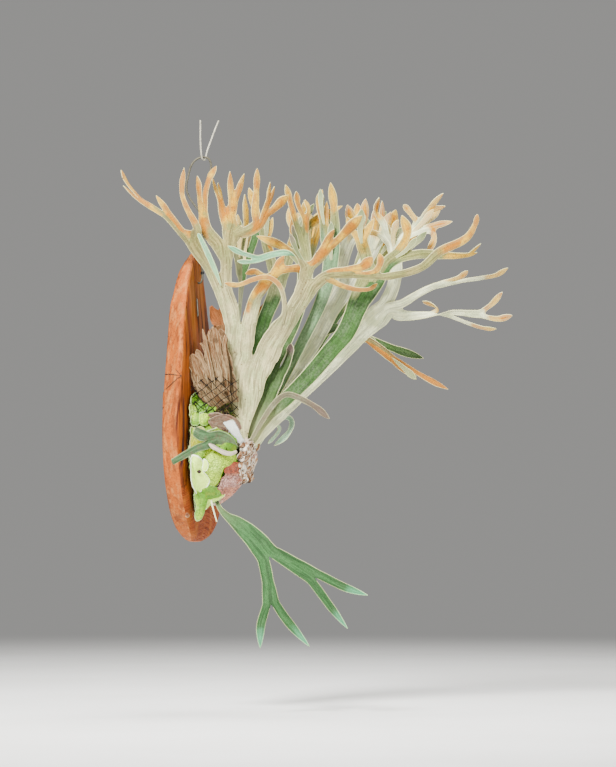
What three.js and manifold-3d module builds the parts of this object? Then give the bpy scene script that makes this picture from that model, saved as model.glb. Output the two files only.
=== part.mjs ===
// A staghorn fern mounted on a pointed oval slab of wood, hung from a wire loop.
// Millimetres, +Z up. The board's flat back faces +Y, the fern grows out towards -Y.
// The origin is the crest of the wire loop that the board hangs from.
//
// The fern is described as it is seen from one side. A place is [across, up, near]: across runs
// out from the wall, up is Z, and near comes towards the viewer, who stands SIDE_TURN degrees
// round from squarely beside the board.
import * as THREE from "three";
import { mergeVertices } from "three/addons/utils/BufferGeometryUtils.js";
import Module from "manifold-3d";

// Driving dimensions
const SIDE_TURN = 16;
const BLADE = 1.2; // thickness of a frond's blade
const STALK = 3.2; // thickness of a frond where it leaves the bud
const STALK_TAPER = 30; // distance over which that thickness falls off
const ROW_STEP = 17; // distance between rows of faces along a frond
const CLEARANCE = 0.3; // gap kept between neighbouring pieces
const LOOP_WIRE = 3.0; // diameter of the hanger's wire
const HANG_WIRE = 2.3; // diameter of the V-shaped wire above it
const THIN_WIRE = 1.8; // diameter of the staple
const TIE_WIRE = 1.2;
const BACK = 31; // Y of the board's flat back
const DRILLED = 60; // length of the drill that makes the wire's hole
const WIRE_HOLE = [-11, -178]; // X and Z of the drilled hole
// The root ball: half its width, and how far it reaches out, up and down from its middle
const BALL = { centreZ: -412, side: 78, out: 58, above: 96, below: 74 };
const NET_THICK = 1.0;
const NET_STRAND = 0.2; // a strand's width as a share of its cell

const wasm = await Module();
wasm.setup();

const turn = THREE.MathUtils.degToRad(SIDE_TURN);
const ACROSS = new THREE.Vector3(Math.sin(turn), -Math.cos(turn), 0);
const NEAR = new THREE.Vector3(-Math.cos(turn), -Math.sin(turn), 0);
const UP = new THREE.Vector3(0, 0, 1);

function place([across, up, near]) {
  return new THREE.Vector3()
    .addScaledVector(ACROSS, across)
    .addScaledVector(UP, up)
    .addScaledVector(NEAR, near);
}

// Closed meshes and booleans

function geometryOf(points, faces) {
  const geometry = new THREE.BufferGeometry();
  const flat = points.flatMap((p) => [p.x, p.y, p.z]);
  geometry.setAttribute("position", new THREE.Float32BufferAttribute(flat, 3));
  geometry.setIndex(faces.flat());
  return geometry;
}

function solidOf(geometry) {
  const bare = geometry.clone();
  bare.deleteAttribute("normal");
  bare.deleteAttribute("uv");
  const merged = mergeVertices(bare, 1e-4);
  return new wasm.Manifold(
    new wasm.Mesh({
      numProp: 3,
      vertProperties: merged.attributes.position.array,
      triVerts: new Uint32Array(merged.index.array),
    }),
  );
}

// The solid without the room that its seated pieces take, less any loose scrap of it.
function cutFor(solid, seats) {
  const whole = seats.reduce((rest, seat) => rest.subtract(seat), solid);
  const pieces = whole.decompose();
  return pieces.reduce((best, piece) => (piece.volume() > best.volume() ? piece : best));
}

function geometryOfSolid(solid) {
  const mesh = solid.getMesh();
  const geometry = new THREE.BufferGeometry();
  geometry.setAttribute("position", new THREE.BufferAttribute(mesh.vertProperties, 3));
  geometry.setIndex(new THREE.BufferAttribute(mesh.triVerts, 1));
  return geometry;
}

// A sheet of faces with its middle surface given becomes a closed blade. The faces' normals say
// which way is its upper side, and each point has its own thickness.
function thicken(points, faces, thickness) {
  const normals = points.map(() => new THREE.Vector3());
  const edges = new Map();
  for (const [a, b, c] of faces) {
    const side = new THREE.Vector3().subVectors(points[b], points[a]);
    const other = new THREE.Vector3().subVectors(points[c], points[a]);
    const normal = side.cross(other);
    for (const i of [a, b, c]) normals[i].add(normal);
    for (const [i, j] of [[a, b], [b, c], [c, a]]) {
      if (!edges.delete(j + "," + i)) edges.set(i + "," + j, [i, j]);
    }
  }
  const count = points.length;
  const skin = [];
  for (const side of [1, -1]) {
    points.forEach((p, i) => {
      const lift = normals[i].clone().setLength((side * thickness[i]) / 2);
      skin.push(p.clone().add(lift));
    });
  }
  const all = faces.flatMap(([a, b, c]) => [[a, b, c], [a + count, c + count, b + count]]);
  for (const [i, j] of edges.values()) {
    all.push([j, i, i + count], [j, i + count, j + count]);
  }
  return geometryOf(skin, all);
}

// Faces between two rows of points, which may have different numbers of them.
function zip(faces, lower, upper) {
  let i = 0;
  let j = 0;
  while (i < lower.length - 1 || j < upper.length - 1) {
    const nextLower = (i + 1) / Math.max(1, lower.length - 1);
    const nextUpper = (j + 1) / Math.max(1, upper.length - 1);
    if (j === upper.length - 1 || (i < lower.length - 1 && nextLower <= nextUpper)) {
      faces.push([lower[i], lower[i + 1], upper[j]]);
      i += 1;
    } else {
      faces.push([lower[i], upper[j + 1], upper[j]]);
      j += 1;
    }
  }
}

// Fronds
//
// A frond is a branch: stations [across, up, near, width, roll], then nothing at a tip, or two
// branches at a fork. Roll, where given, turns the blade by that many degrees from the last station.

const isStation = (entry) => typeof entry[0] === "number";

// A point at a tip, then more of them across as the blade gets wider
const WIDTHS_SPLIT = { tip: 0.5, narrow: 8.5, wide: 34 };

function pointsAcross(width) {
  if (width < WIDTHS_SPLIT.tip) return 1;
  if (width < WIDTHS_SPLIT.narrow) return 2;
  return width < WIDTHS_SPLIT.wide ? 3 : 5;
}

function hermite(p0, m0, p1, m1, t) {
  const t2 = t * t;
  const t3 = t2 * t;
  return new THREE.Vector3()
    .addScaledVector(p0, 2 * t3 - 3 * t2 + 1)
    .addScaledVector(m0, t3 - 2 * t2 + t)
    .addScaledVector(p1, 3 * t2 - 2 * t3)
    .addScaledVector(m1, t3 - t2);
}

// A blade keeps its width almost to its tip, then rounds off.
function widthBetween(from, to, t) {
  if (to === 0) return from * Math.sqrt(1 - t ** 2.2);
  return THREE.MathUtils.lerp(from, to, t);
}

const unit = (from, to) => new THREE.Vector3().subVectors(to, from).normalize();

function squareTo(normal, tangent) {
  return normal.clone().addScaledVector(tangent, -normal.dot(tangent)).normalize();
}

class Sheet {
  constructor(cup) {
    this.points = [];
    this.faces = [];
    this.thickness = [];
    this.trunkEnds = [];
    this.cup = cup;
  }

  // A row of points across the blade. The middle lies a little lower than the edges.
  row(centre, tangent, normal, width, count, thickness) {
    const right = new THREE.Vector3().crossVectors(tangent, normal);
    const indices = [];
    for (let i = 0; i < count; i += 1) {
      const s = count === 1 ? 0 : (2 * i) / (count - 1) - 1;
      const dip = this.cup * width * (s * s - 0.4);
      const point = centre.clone().addScaledVector(right, (s * width) / 2);
      this.points.push(point.addScaledVector(normal, count > 2 ? dip : 0));
      this.thickness.push(thickness);
      indices.push(this.points.length - 1);
    }
    return indices;
  }

  branch(entries, start) {
    const stations = entries.filter(isStation);
    const forks = entries.filter((entry) => !isStation(entry));
    const places = [start.centre, ...stations.map(place)];
    const widths = [start.width, ...stations.map((s) => s[3])];
    const last = places.length - 1;
    const ahead = forks.map((fork) => unit(places[last], place(fork[0])));
    const tangents = places.map((p, i) => {
      if (i === 0) return start.tangent;
      if (i < last) return unit(places[i - 1], places[i + 1]);
      const along = unit(places[i - 1], p);
      for (const direction of ahead) along.addScaledVector(direction, 0.5);
      return along.normalize();
    });
    let normal = start.normal;
    let goal = null;
    if (forks.length === 2) {
      goal = new THREE.Vector3().crossVectors(ahead[1], ahead[0]).normalize();
    }
    let row = start.row;
    let travelled = start.travelled;
    for (let i = 0; i < last; i += 1) {
      const length = places[i].distanceTo(places[i + 1]);
      const m0 = tangents[i].clone().multiplyScalar(length);
      const m1 = tangents[i + 1].clone().multiplyScalar(length);
      const isTip = widths[i + 1] === 0;
      const steps = Math.max(isTip ? 2 : 1, Math.round(length / ROW_STEP));
      const roll = THREE.MathUtils.degToRad(stations[i][4] || 0) / steps;
      for (let k = 1; k <= steps; k += 1) {
        const t = isTip ? Math.sin((k / steps) * (Math.PI / 2)) : k / steps;
        const centre = hermite(places[i], m0, places[i + 1], m1, t);
        const before = hermite(places[i], m0, places[i + 1], m1, t - 0.05);
        const tangent = unit(before, centre);
        normal = squareTo(normal, tangent);
        if (roll) normal.applyAxisAngle(tangent, roll);
        if (goal) {
          if (goal.dot(normal) < 0) goal.negate();
          const rest = (last - i - 1) * 3 + (steps - k) + 1;
          normal = squareTo(normal.clone().lerp(goal, 1 / rest), tangent);
        }
        const width = widthBetween(widths[i], widths[i + 1], t);
        travelled += length / steps;
        const atFork = forks.length === 2 && i === last - 1 && k === steps;
        let count = pointsAcross(width);
        if (atFork) count = Math.max(3, count);
        const thickness = BLADE + (STALK - BLADE) * Math.exp(-travelled / STALK_TAPER);
        const next = this.row(centre, tangent, normal, width, count, thickness);
        zip(this.faces, row, next);
        row = next;
      }
      if (start.isTrunk) this.trunkEnds.push(this.faces.length);
    }
    if (forks.length === 2) this.fork(forks, ahead, places[last], row, {
      tangent: tangents[last],
      normal,
      width: widths[last],
      travelled,
    });
  }

  fork(forks, ahead, centre, row, end) {
    const right = new THREE.Vector3().crossVectors(end.tangent, end.normal);
    const middle = (row.length - 1) / 2;
    const rightFirst = ahead[0].dot(right) > ahead[1].dot(right);
    forks.forEach((entries, i) => {
      const side = (i === 0) === rightFirst ? 1 : -1;
      const tangent = end.tangent.clone().multiplyScalar(0.7).add(ahead[i]).normalize();
      this.branch(entries, {
        centre: centre.clone().addScaledVector(right, (side * end.width) / 4),
        row: side > 0 ? row.slice(middle) : row.slice(0, middle + 1),
        width: end.width / 2,
        tangent,
        normal: squareTo(end.normal, tangent),
        travelled: end.travelled,
      });
    });
  }
}

// face says whether the blade's upper side starts out towards the viewer (1) or away (-1). With
// grow, the blade is that much larger all round, and only its first stations are kept: this is the
// room that its foot takes in what it grows from.
function frondSheet(frond, grow = 0, stationsKept = 0) {
  const [first, ...rest] = frond.blade.map((entry) => {
    if (!isStation(entry)) return entry;
    const [across, up, near, width, roll] = entry;
    return [across, up, near, width + 2 * grow, roll];
  });
  const sheet = new Sheet(frond.cup ?? 0.06);
  const centre = place(first);
  const tangent = unit(centre, place(rest[0]));
  centre.addScaledVector(tangent, -grow);
  const roll = THREE.MathUtils.degToRad(frond.roll ?? 0);
  const facing = NEAR.clone().multiplyScalar(frond.face ?? 1);
  const normal = squareTo(facing, tangent).applyAxisAngle(tangent, roll);
  const count = Math.max(3, pointsAcross(frond.blade[0][3]));
  const row = sheet.row(centre, tangent, normal, first[3], count, STALK);
  const start = { centre, row, width: first[3], tangent, normal, travelled: 0, isTrunk: true };
  sheet.branch(rest, start);
  const most = frond.stalk ?? STALK;
  const thickness = sheet.thickness.map((t) => Math.min(t, most) + 2 * grow);
  const faces = grow ? sheet.faces.slice(0, sheet.trunkEnds[stationsKept - 2]) : sheet.faces;
  return thicken(sheet.points, faces, thickness);
}

// The big silver frond nearest the viewer
const FAR_LEFT = [
  [8, -156, 64, 17], [-8, -132, 72, 20.5], [-14, -120, 76, 22.5],
  [[-36, -101, 86, 12], [-50, -84, 92, 13.5],
    [[-65, -58, 96, 0]],
    [[-73, -73, 98, 9], [-86, -65, 100, 9],
      [[-104, -42, 104, 6.5], [-113, -23, 106, 0]],
      [[-110, -45, 112, 0]]]],
  [[-8, -103, 82, 11], [-22, -76, 86, 7.5], [-29, -54, 86, 6.5], [-26, -19, 86, 0]],
];
const NEAR_WEB_LEFT = [
  [4, -104, 66, 17], [0, -80, 70, 16],
  [[-5, -55, 72, 9], [-8, -30, 72, 0]],
  [[3, -58, 78, 10], [8, -36, 82, 9], [19, -17, 84, 0]],
];
const NEAR_WEB_RIGHT = [
  [40, -110, 60, 28.5],
  [[36, -98, 60, 22], [34, -84, 60, 24.5],
    [[24, -64, 62, 13.5],
      [[12, -31, 66, 0]],
      [[20, -39, 58, 0]]],
    [[42, -62, 58, 15],
      [[37, -23, 62, 0]],
      [[57, -26, 54, 0]]]],
  [[62, -107, 57, 15.5], [76, -97, 56, 17.5],
    [[72, -78, 60, 12], [74, -50, 62, 8], [75, -19, 66, 0]],
    [[87, -82, 54, 15.5],
      [[92, -62, 56, 12],
        [[93, -38, 58, 0]],
        [[99, -44, 50, 0]]],
      [[102, -72, 48, 12], [119, -56, 44, 0]]]],
];
const CURLED_TINE = [
  [112, -222, 58, 7], [112, -200, 66, 7], [105, -181, 70, 7], [90, -171, 72, 7],
  [70, -174, 74, 7], [48, -182, 74, 6], [29, -179, 72, 0],
];
const NEAR_RIGHT_STRAND = [
  [180, -166, 74, 16], [206, -164, 78, 18],
  [[222, -156, 82, 13], [235, -143, 84, 0]],
  [[238, -167, 80, 14],
    [[246, -152, 84, 9], [245, -138, 86, 0]],
    [[258, -170, 80, 11], [302, -158, 84, 11], [328, -136, 88, 13], [364, -118, 92, 11],
      [377, -98, 96, 7], [380, -84, 98, 0]]],
];
const frondNearSilver = {
  name: "frond_near_silver",
  face: -1,
  blade: [
    [56, -401, 22, 9], [58, -378, 25, 26], [59, -344, 27, 45], [59, -305, 29, 51], [63, -284, 32, 54],
    [[54, -258, 38, 27], [53, -236, 42, 28],
      [[40, -216, 48, 21], [26, -186, 56, 26],
        FAR_LEFT,
        [[32, -166, 58, 15], [32, -148, 60, 17], [29, -124, 62, 38],
          NEAR_WEB_LEFT,
          NEAR_WEB_RIGHT]],
      [[74, -196, 44, 15], [86, -178, 46, 18],
        [[74, -163, 50, 8], [58, -166, 54, 0]],
        [[104, -160, 46, 17],
          [[113, -140, 44, 0]],
          [[128, -158, 44, 11], [148, -161, 38, 0]]]]],
    [[88, -262, 38, 24], [107, -240, 46, 22],
      CURLED_TINE,
      [[125, -218, 54, 18], [139, -198, 60, 19], [148, -180, 66, 27],
        [[145, -158, 71, 20],
          [[128, -142, 77, 9], [114, -137, 80, 9], [92, -141, 84, 9], [76, -146, 86, 10],
            [[54, -138, 90, 7], [34, -128, 92, 0]],
            [[62, -150, 86, 6], [47, -149, 84, 0]]],
          [[162, -143, 70, 17], [173, -128, 70, 19],
            [[182, -104, 76, 0]],
            [[198, -108, 68, 14], [221, -85, 70, 0]]]],
        [[170, -171, 72, 17],
          NEAR_RIGHT_STRAND,
          [[194, -183, 66, 8], [214, -188, 64, 7], [232, -187, 62, 6], [242, -179, 62, 0]]]]],
  ],
};

// Fronds behind it, from left to right
const frondDarkGreen = {
  name: "frond_dark_green",
  face: 1,
  blade: [
    [63, -397, 13, 8], [80, -364, 17, 22], [95, -335, 17, 28], [109, -298, 14, 30],
    [[120, -278, 16, 11], [122, -262, 18, 0]],
    [[121, -246, 6, 20], [134, -209, 2, 19], [141, -178, 0, 22], [139, -146, -2, 24],
      [[112, -128, 4, 10.5], [73, -112, 10, 0]],
      [[138, -112, -4, 19.5],
        [[126, -84, 4, 11.5], [120, -62, 6, 9], [114, -40, 8, 0]],
        [[142, -88, -8, 14.5],
          [[131, -66, -2, 9], [129, -49, -2, 0]],
          [[146, -72, -14, 8], [140, -61, -16, 0]]]]],
  ],
};
const frondBlueGreen = {
  name: "frond_blue_green",
  face: 1,
  blade: [
    [62, -391, 1, 8], [84, -357, -1, 13], [101, -330, -6, 14], [116, -302, -10, 15],
    [140, -255, -14, 16], [162, -209, -18, 18], [174, -172, -20, 21.5], [178, -140, -24, 23.5],
    [[170, -112, -26, 15], [168, -90, -24, 12.5],
      [[172, -62, -24, 0]],
      [[160, -64, -22, 7.5], [166, -46, -20, 0]]],
    [[184, -108, -24, 15], [182, -70, -20, 10], [177, -36, -14, 0]],
  ],
};
const frondMidSilver = {
  name: "frond_mid_silver",
  face: -1,
  blade: [
    [60, -399, -9, 8], [67, -392, -9, 9], [92, -358, -17, 17], [111, -328, -25, 19], [130, -297, -34, 20],
    [154, -262, -43, 20], [182, -210, -54, 22], [197, -184, -60, 30.5],
    [[193, -150, -64, 18.5], [203, -118, -66, 19.5],
      [[206, -90, -66, 11.5], [201, -66, -62, 0]],
      [[222, -92, -68, 11.5], [227, -57, -70, 0]]],
    [[221, -157, -60, 19.5], [240, -124, -58, 19.5],
      [[240, -98, -56, 11.5], [241, -70, -56, 0]],
      [[254, -98, -62, 15.5],
        [[250, -60, -62, 0]],
        [[262, -76, -68, 0]]]],
  ],
};
const frondBroadGreen = {
  name: "frond_broad_green",
  face: 1,
  blade: [
    [68, -401, 5, 9], [87, -366, 10, 19], [113, -342, 14, 21], [148, -307, 20, 23],
    [176, -274, 26, 25], [199, -246, 30, 27], [218, -202, 34, 31], [231, -178, 36, 37.5],
    [[228, -150, 34, 18.5], [220, -118, 32, 18.5],
      [[238, -88, 38, 0]],
      [[206, -102, 26, 8], [200, -86, 24, 0]]],
    [[256, -152, 36, 19.5], [272, -140, 38, 21],
      [[284, -110, 44, 11.5], [276, -84, 48, 0]],
      [[302, -138, 44, 14], [340, -140, 50, 12.5], [370, -139, 56, 10.5],
        [[386, -124, 62, 0]],
        [[381, -136, 50, 0]]]],
  ],
};
const SILVER_CROWN = [
  [254, -206, 6, 20], [268, -171, 6, 17], [269, -146, 4, 17], [266, -124, 2, 22],
  [[254, -114, 0, 15],
    [[238, -107, -6, 8], [212, -106, -12, 0]],
    [[250, -92, 4, 10.5, 40], [241, -80, 6, 10.5, 40], [245, -58, 8, 0]]],
  [[278, -113, 4, 16], [294, -105, 5, 17],
    [[299, -93, 0, 13],
      [[286, -76, 0, 8], [279, -68, 2, 0]],
      [[318, -74, 4, 13],
        [[335, -52, 8, 0]],
        [[338, -70, 0, 0]]]],
    [[318, -102, 10, 15.5],
      [[348, -92, 12, 0]],
      [[322, -116, 14, 8], [312, -137, 16, 0]]]],
];
const frondRightSilver = {
  name: "frond_right_silver",
  face: -1,
  blade: [
    [63, -406, -5, 8], [74, -399, -5, 9], [106, -362, -6, 19], [148, -320, -4, 21], [190, -279, 0, 23],
    [221, -246, 3, 27], [240, -228, 4, 34],
    SILVER_CROWN,
    [[258, -217, 3, 25],
      [[276, -207, 8, 12], [302, -192, 13, 11], [322, -183, 16, 10], [344, -177, 18, 12],
        [[358, -170, 22, 8], [369, -161, 24, 0]],
        [[362, -175, 18, 6], [382, -172, 18, 7], [408, -167, 20, 7], [425, -157, 22, 0]]],
      [[276, -224, 0, 14], [318, -221, -6, 13],
        [[328, -214, -16, 7, 60], [318, -207, -22, 8, 60], [306, -203, -22, 0]],
        [[342, -221, -4, 12],
          [[358, -219, 0, 10], [386, -221, 2, 11],
            [[402, -208, 4, 7], [418, -190, 6, 0]],
            [[412, -228, 0, 8], [432, -223, -2, 0]]],
          [[370, -234, -10, 6], [393, -241, -12, 6], [410, -242, -14, 0]]]]],
  ],
};
const frondBackDroop = {
  name: "frond_back_droop",
  face: 1,
  blade: [
    [59, -398, -14, 7], [67, -389, -17, 8], [90, -352, -36, 13], [128, -292, -56, 17], [168, -244, -72, 19],
    [198, -240, -80, 20],
    [[220, -250, -88, 11], [267, -269, -92, 10], [310, -283, -96, 0]],
    [[230, -257, -76, 12], [268, -286, -70, 13],
      [[291, -309, -66, 0]],
      [[304, -306, -72, 8], [344, -327, -78, 0]]],
  ],
};
const frondGreenBehind = {
  name: "frond_green_behind",
  face: 1,
  blade: [
    [55, -392, -6, 8], [62, -348, -16, 16], [71, -292, -28, 20], [83, -234, -38, 20],
    [98, -195, -48, 22], [104, -170, -50, 26],
    [[92, -140, -52, 15], [86, -112, -52, 16],
      [[72, -72, -56, 10.5], [62, -42, -60, 0]],
      [[96, -84, -48, 0]]],
    [[118, -142, -50, 16], [128, -112, -48, 17],
      [[124, -82, -44, 0]],
      [[152, -92, -50, 13], [172, -82, -52, 13],
        [[195, -68, -54, 0]],
        [[188, -92, -48, 0]]]],
  ],
};
const frondRearLeft = {
  name: "frond_rear_left",
  face: -1,
  roll: 40,
  blade: [
    [48, -388, -17, 8], [44, -350, -42, 16], [44, -300, -70, 20], [47, -246, -96, 23],
    [50, -206, -110, 30],
    [[50, -168, -92, 19], [48, -136, -78, 21],
      [[40, -98, -64, 13.5], [38, -66, -58, 0]],
      [[58, -92, -86, 12], [56, -50, -92, 0]]],
    [[54, -172, -132, 19], [56, -140, -152, 21],
      [[46, -104, -168, 13.5], [40, -76, -184, 0]],
      [[70, -110, -160, 12], [80, -74, -168, 0]]],
  ],
};
const frondRearMiddle = {
  name: "frond_rear_middle",
  face: -1,
  roll: 40,
  blade: [
    [57, -384, -26, 8], [82, -334, -62, 18], [106, -280, -92, 22], [126, -228, -114, 25],
    [134, -194, -124, 35.5],
    [[142, -160, -104, 20], [148, -128, -92, 21],
      [[140, -92, -84, 13.5], [142, -58, -78, 0]],
      [[162, -96, -98, 13.5], [170, -66, -104, 0]]],
    [[138, -162, -148, 20], [140, -130, -168, 21],
      [[126, -96, -176, 13.5], [118, -66, -190, 0]],
      [[154, -98, -182, 13.5], [162, -72, -196, 0]]],
  ],
};
const frondRearRight = {
  name: "frond_rear_right",
  face: 1,
  roll: -40,
  blade: [
    [60, -399, -20, 7], [70, -386, -29, 8], [104, -342, -58, 16], [146, -288, -88, 20],
    [184, -230, -112, 24],
    [208, -192, -124, 33],
    [[232, -160, -108, 19], [252, -132, -100, 21],
      [[262, -98, -92, 13.5], [270, -72, -88, 0]],
      [[282, -118, -106, 12], [304, -98, -110, 0]]],
    [[218, -156, -146, 19], [230, -124, -164, 21],
      [[220, -88, -174, 13.5], [216, -60, -186, 0]],
      [[256, -104, -174, 12], [276, -84, -186, 0]]],
  ],
};
const frondStrap = {
  name: "frond_strap",
  face: 1,
  blade: [
    [66, -398, 22, 5], [82, -370, 34, 7], [98, -347, 42, 8], [114, -334, 46, 8],
    [130, -337, 46, 9], [156, -351, 50, 8], [176, -368, 52, 0],
  ],
};
const frondSmallArch = {
  name: "frond_small_arch",
  face: 1,
  blade: [
    [63, -410, -11, 5.5], [74, -405, -14, 6], [85, -389, -20, 8], [98, -374, -22, 10],
    [[106, -381, -28, 6], [98, -394, -30, 5], [89, -403, -30, 0]],
    [[113, -365, -20, 9], [123, -371, -18, 8], [118, -388, -18, 7], [98, -406, -20, 0]],
  ],
};
const frondStub = {
  name: "frond_woolly_stub",
  face: 1,
  stalk: 3,
  blade: [[55, -404, 31, 9], [49, -394, 43, 9], [43, -384, 54, 12], [33, -368, 65, 15]],
};
const shieldMauve = {
  name: "shield_mauve",
  face: 1,
  stalk: 1.2,
  cup: 0.02,
  blade: [
    [46, -394, 38, 12], [42, -389, 47, 15], [33, -377, 57, 22], [19, -366, 66, 18], [7, -362, 72, 5],
  ],
};
const frondForked = {
  name: "frond_small_forked",
  face: 1,
  blade: [
    [47, -411, 26, 8], [43, -407, 46, 11], [34, -398, 64, 17], [20, -393, 76, 22], [8, -397, 86, 23],
    [[-2, -390, 94, 11], [-12, -383, 102, 4]],
    [[-8, -408, 98, 11], [-30, -420, 116, 9], [-42, -427, 124, 7]],
  ],
};
const frondHanging = {
  name: "frond_hanging",
  face: 1,
  blade: [
    [16, -471, 30, 5], [19, -484, 40, 6], [24, -494, 46, 8], [34, -504, 48, 11],
    [46, -511, 52, 19], [70, -532, 58, 27], [89, -553, 64, 30],
    [[120, -564, 70, 18], [150, -582, 74, 21],
      [[195, -599, 82, 11], [229, -612, 88, 0]],
      [[172, -622, 74, 10], [201, -659, 76, 0]]],
    [[88, -594, 60, 15], [93, -620, 58, 18],
      [[78, -657, 58, 10], [79, -687, 58, 0]],
      [[120, -647, 52, 11], [148, -685, 48, 0]]],
  ],
};
const thinStalk = {
  name: "thin_stalk",
  face: 1,
  stalk: 1.8,
  blade: [[10, -470, 42, 2.4], [12, -486, 54, 2.4], [19, -511, 58, 1.6]],
};

// Root ball

// A point over the ball. reach is 0 at its outermost point and 1 where it meets the board, and
// past 1 it runs on over the board. angle is 0 towards the viewer's side and 90 straight up.
function overBall(reach, angle, lift) {
  const a = THREE.MathUtils.degToRad(angle);
  const rise = Math.sin(a) > 0 ? BALL.above : BALL.below;
  const inner = Math.min(reach, 1) * (Math.PI / 2);
  const spread = reach < 1 ? Math.sin(inner) : 1 + (reach - 1) * 0.9;
  const out = reach < 1 ? Math.cos(inner) : 0;
  const slope = new THREE.Vector3(
    (-Math.cos(a) * spread) / BALL.side,
    -Math.max(out, 0.02) / BALL.out,
    (Math.sin(a) * spread) / rise,
  );
  if (reach >= 1) slope.set(0, -1, 0);
  const point = new THREE.Vector3(
    -Math.cos(a) * spread * BALL.side,
    -out * BALL.out - CLEARANCE,
    BALL.centreZ + Math.sin(a) * spread * rise,
  );
  return point.addScaledVector(slope.normalize(), lift);
}

function ballGeometry() {
  const around = 24;
  const rings = 7;
  const points = [overBall(0, 0, 0)];
  const faces = [];
  for (let r = 1; r <= rings; r += 1) {
    for (let i = 0; i < around; i += 1) {
      points.push(overBall(r / rings, (360 * i) / around, 0));
    }
  }
  points.push(new THREE.Vector3(0, -CLEARANCE, BALL.centreZ));
  const at = (r, i) => 1 + (r - 1) * around + (i % around);
  const back = points.length - 1;
  for (let i = 0; i < around; i += 1) {
    faces.push([0, at(1, i + 1), at(1, i)]);
    for (let r = 1; r < rings; r += 1) {
      faces.push([at(r, i), at(r + 1, i + 1), at(r + 1, i)]);
      faces.push([at(r, i), at(r, i + 1), at(r + 1, i + 1)]);
    }
    faces.push([at(rings, i), at(rings, i + 1), back]);
  }
  return geometryOf(points, faces);
}

// A shield frond: a sheet that wraps the ball from angle to angle, whose outer edge is drawn by
// hand as [angle, reach] pairs, with bulges that follow a formula.
function shieldGeometry({ inner, lift, edge, thickness, step = 9, rings = 5, bulge = 2 }) {
  const first = edge[0][0];
  const last = edge[edge.length - 1][0];
  const columns = Math.round(Math.abs(last - first) / step);
  const points = [];
  const faces = [];
  for (let c = 0; c <= columns; c += 1) {
    const angle = THREE.MathUtils.lerp(first, last, c / columns);
    const outer = reachAt(edge, angle);
    for (let r = 0; r <= rings; r += 1) {
      const share = r / rings;
      const reach = THREE.MathUtils.lerp(inner, outer, share);
      const swell = 0.5 + 0.5 * Math.sin(angle * 0.11 + share * 4.5);
      const rise = lift + bulge * swell + (share > 0.99 ? bulge * 0.6 : 0);
      points.push(overBall(reach, angle, rise));
    }
  }
  const at = (c, r) => c * (rings + 1) + r;
  const flip = last < first;
  for (let c = 0; c < columns; c += 1) {
    for (let r = 0; r < rings; r += 1) {
      const quad = [at(c, r), at(c, r + 1), at(c + 1, r + 1), at(c + 1, r)];
      if (flip) quad.reverse();
      faces.push([quad[0], quad[1], quad[2]], [quad[0], quad[2], quad[3]]);
    }
  }
  return thicken(points, faces, points.map(() => thickness));
}

function reachAt(edge, angle) {
  for (let i = 1; i < edge.length; i += 1) {
    const [a0, r0] = edge[i - 1];
    const [a1, r1] = edge[i];
    if ((angle - a0) * (angle - a1) <= 0) {
      return THREE.MathUtils.lerp(r0, r1, THREE.MathUtils.smoothstep((angle - a0) / (a1 - a0), 0, 1));
    }
  }
  return edge[edge.length - 1][1];
}

const SHIELD_GREEN = {
  inner: 0.26,
  lift: 3.3,
  thickness: 1.4,
  edge: [
    [24, 0.62], [14, 0.8], [4, 0.97], [-14, 1.03], [-26, 1.05], [-38, 0.9], [-52, 1.28], [-64, 1.4],
    [-76, 1.16], [-92, 1.02], [-110, 1.12], [-130, 1.0], [-150, 1.05], [-176, 0.98], [-200, 0.7],
  ],
};
const SHIELD_OLD = {
  inner: 0.3,
  lift: 8.2,
  thickness: 1.2,
  rings: 3,
  bulge: 1.4,
  edge: [[-34, 0.5], [-48, 0.66], [-64, 0.78], [-84, 0.84], [-104, 0.8], [-122, 0.6], [-134, 0.44]],
};
const SHIELD_SIDE = {
  inner: 0.64,
  lift: 1.0,
  thickness: 0.9,
  step: 6,
  rings: 3,
  bulge: 0.6,
  edge: [
    [4, 0.8], [10, 0.96], [17, 0.86], [25, 0.99], [32, 0.88], [39, 0.99], [46, 0.88], [53, 0.98], [58, 0.8],
  ],
};

const shieldDryNear = {
  name: "shield_dry_near",
  face: 1,
  stalk: 1,
  cup: 0.03,
  blade: [
    [26, -350, 52, 24], [14, -334, 60, 38], [8, -316, 62, 40],
    [[-3, -304, 64, 20], [-11, -290, 66, 9], [-16, -277, 67, 2]],
    [[12, -292, 62, 22], [8, -272, 63, 15],
      [[-4, -262, 64, 2]],
      [[8, -246, 62, 3]]],
  ],
};
const shieldDryMid = {
  name: "shield_dry_mid",
  face: 1,
  stalk: 1,
  cup: 0.03,
  blade: [
    [36, -346, 4, 36], [32, -320, 6, 46], [28, -290, 8, 50], [24, -268, 10, 50],
    [[13, -256, 12, 26], [12, -242, 12, 8]],
    [[32, -256, 8, 24], [30, -244, 8, 10]],
  ],
};
const shieldDryFar = {
  name: "shield_dry_far",
  face: 1,
  roll: 33,
  stalk: 1,
  cup: 0.03,
  blade: [
    [40, -338, -24, 46], [44, -300, -31, 66], [48, -262, -34, 84], [49, -238, -35, 90],
    [[26, -226, -20, 44], [21, -216, -16, 36],
      [[9, -210, -8, 6]],
      [[22, -202, -16, 5]]],
    [[71, -226, -50, 44], [73, -216, -50, 36],
      [[61, -208, -44, 6]],
      [[85, -206, -58, 6]]],
  ],
};

// The bud: a short rhizome tip under overlapping papery scales. Each frond's base stands in a slot.
const BUD_AT = place([51, -407, -3]);

const BUD = { halfSize: [27, 17.5, 26], lean: -0.2 };
const SCALES = {
  count: 9, width: 13, long: 22, flatness: 0.42, tilt: 0.9, firstAngle: -150, step: 34,
  spread: 9, out: -8, rows: [-19, -10],
};

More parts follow.
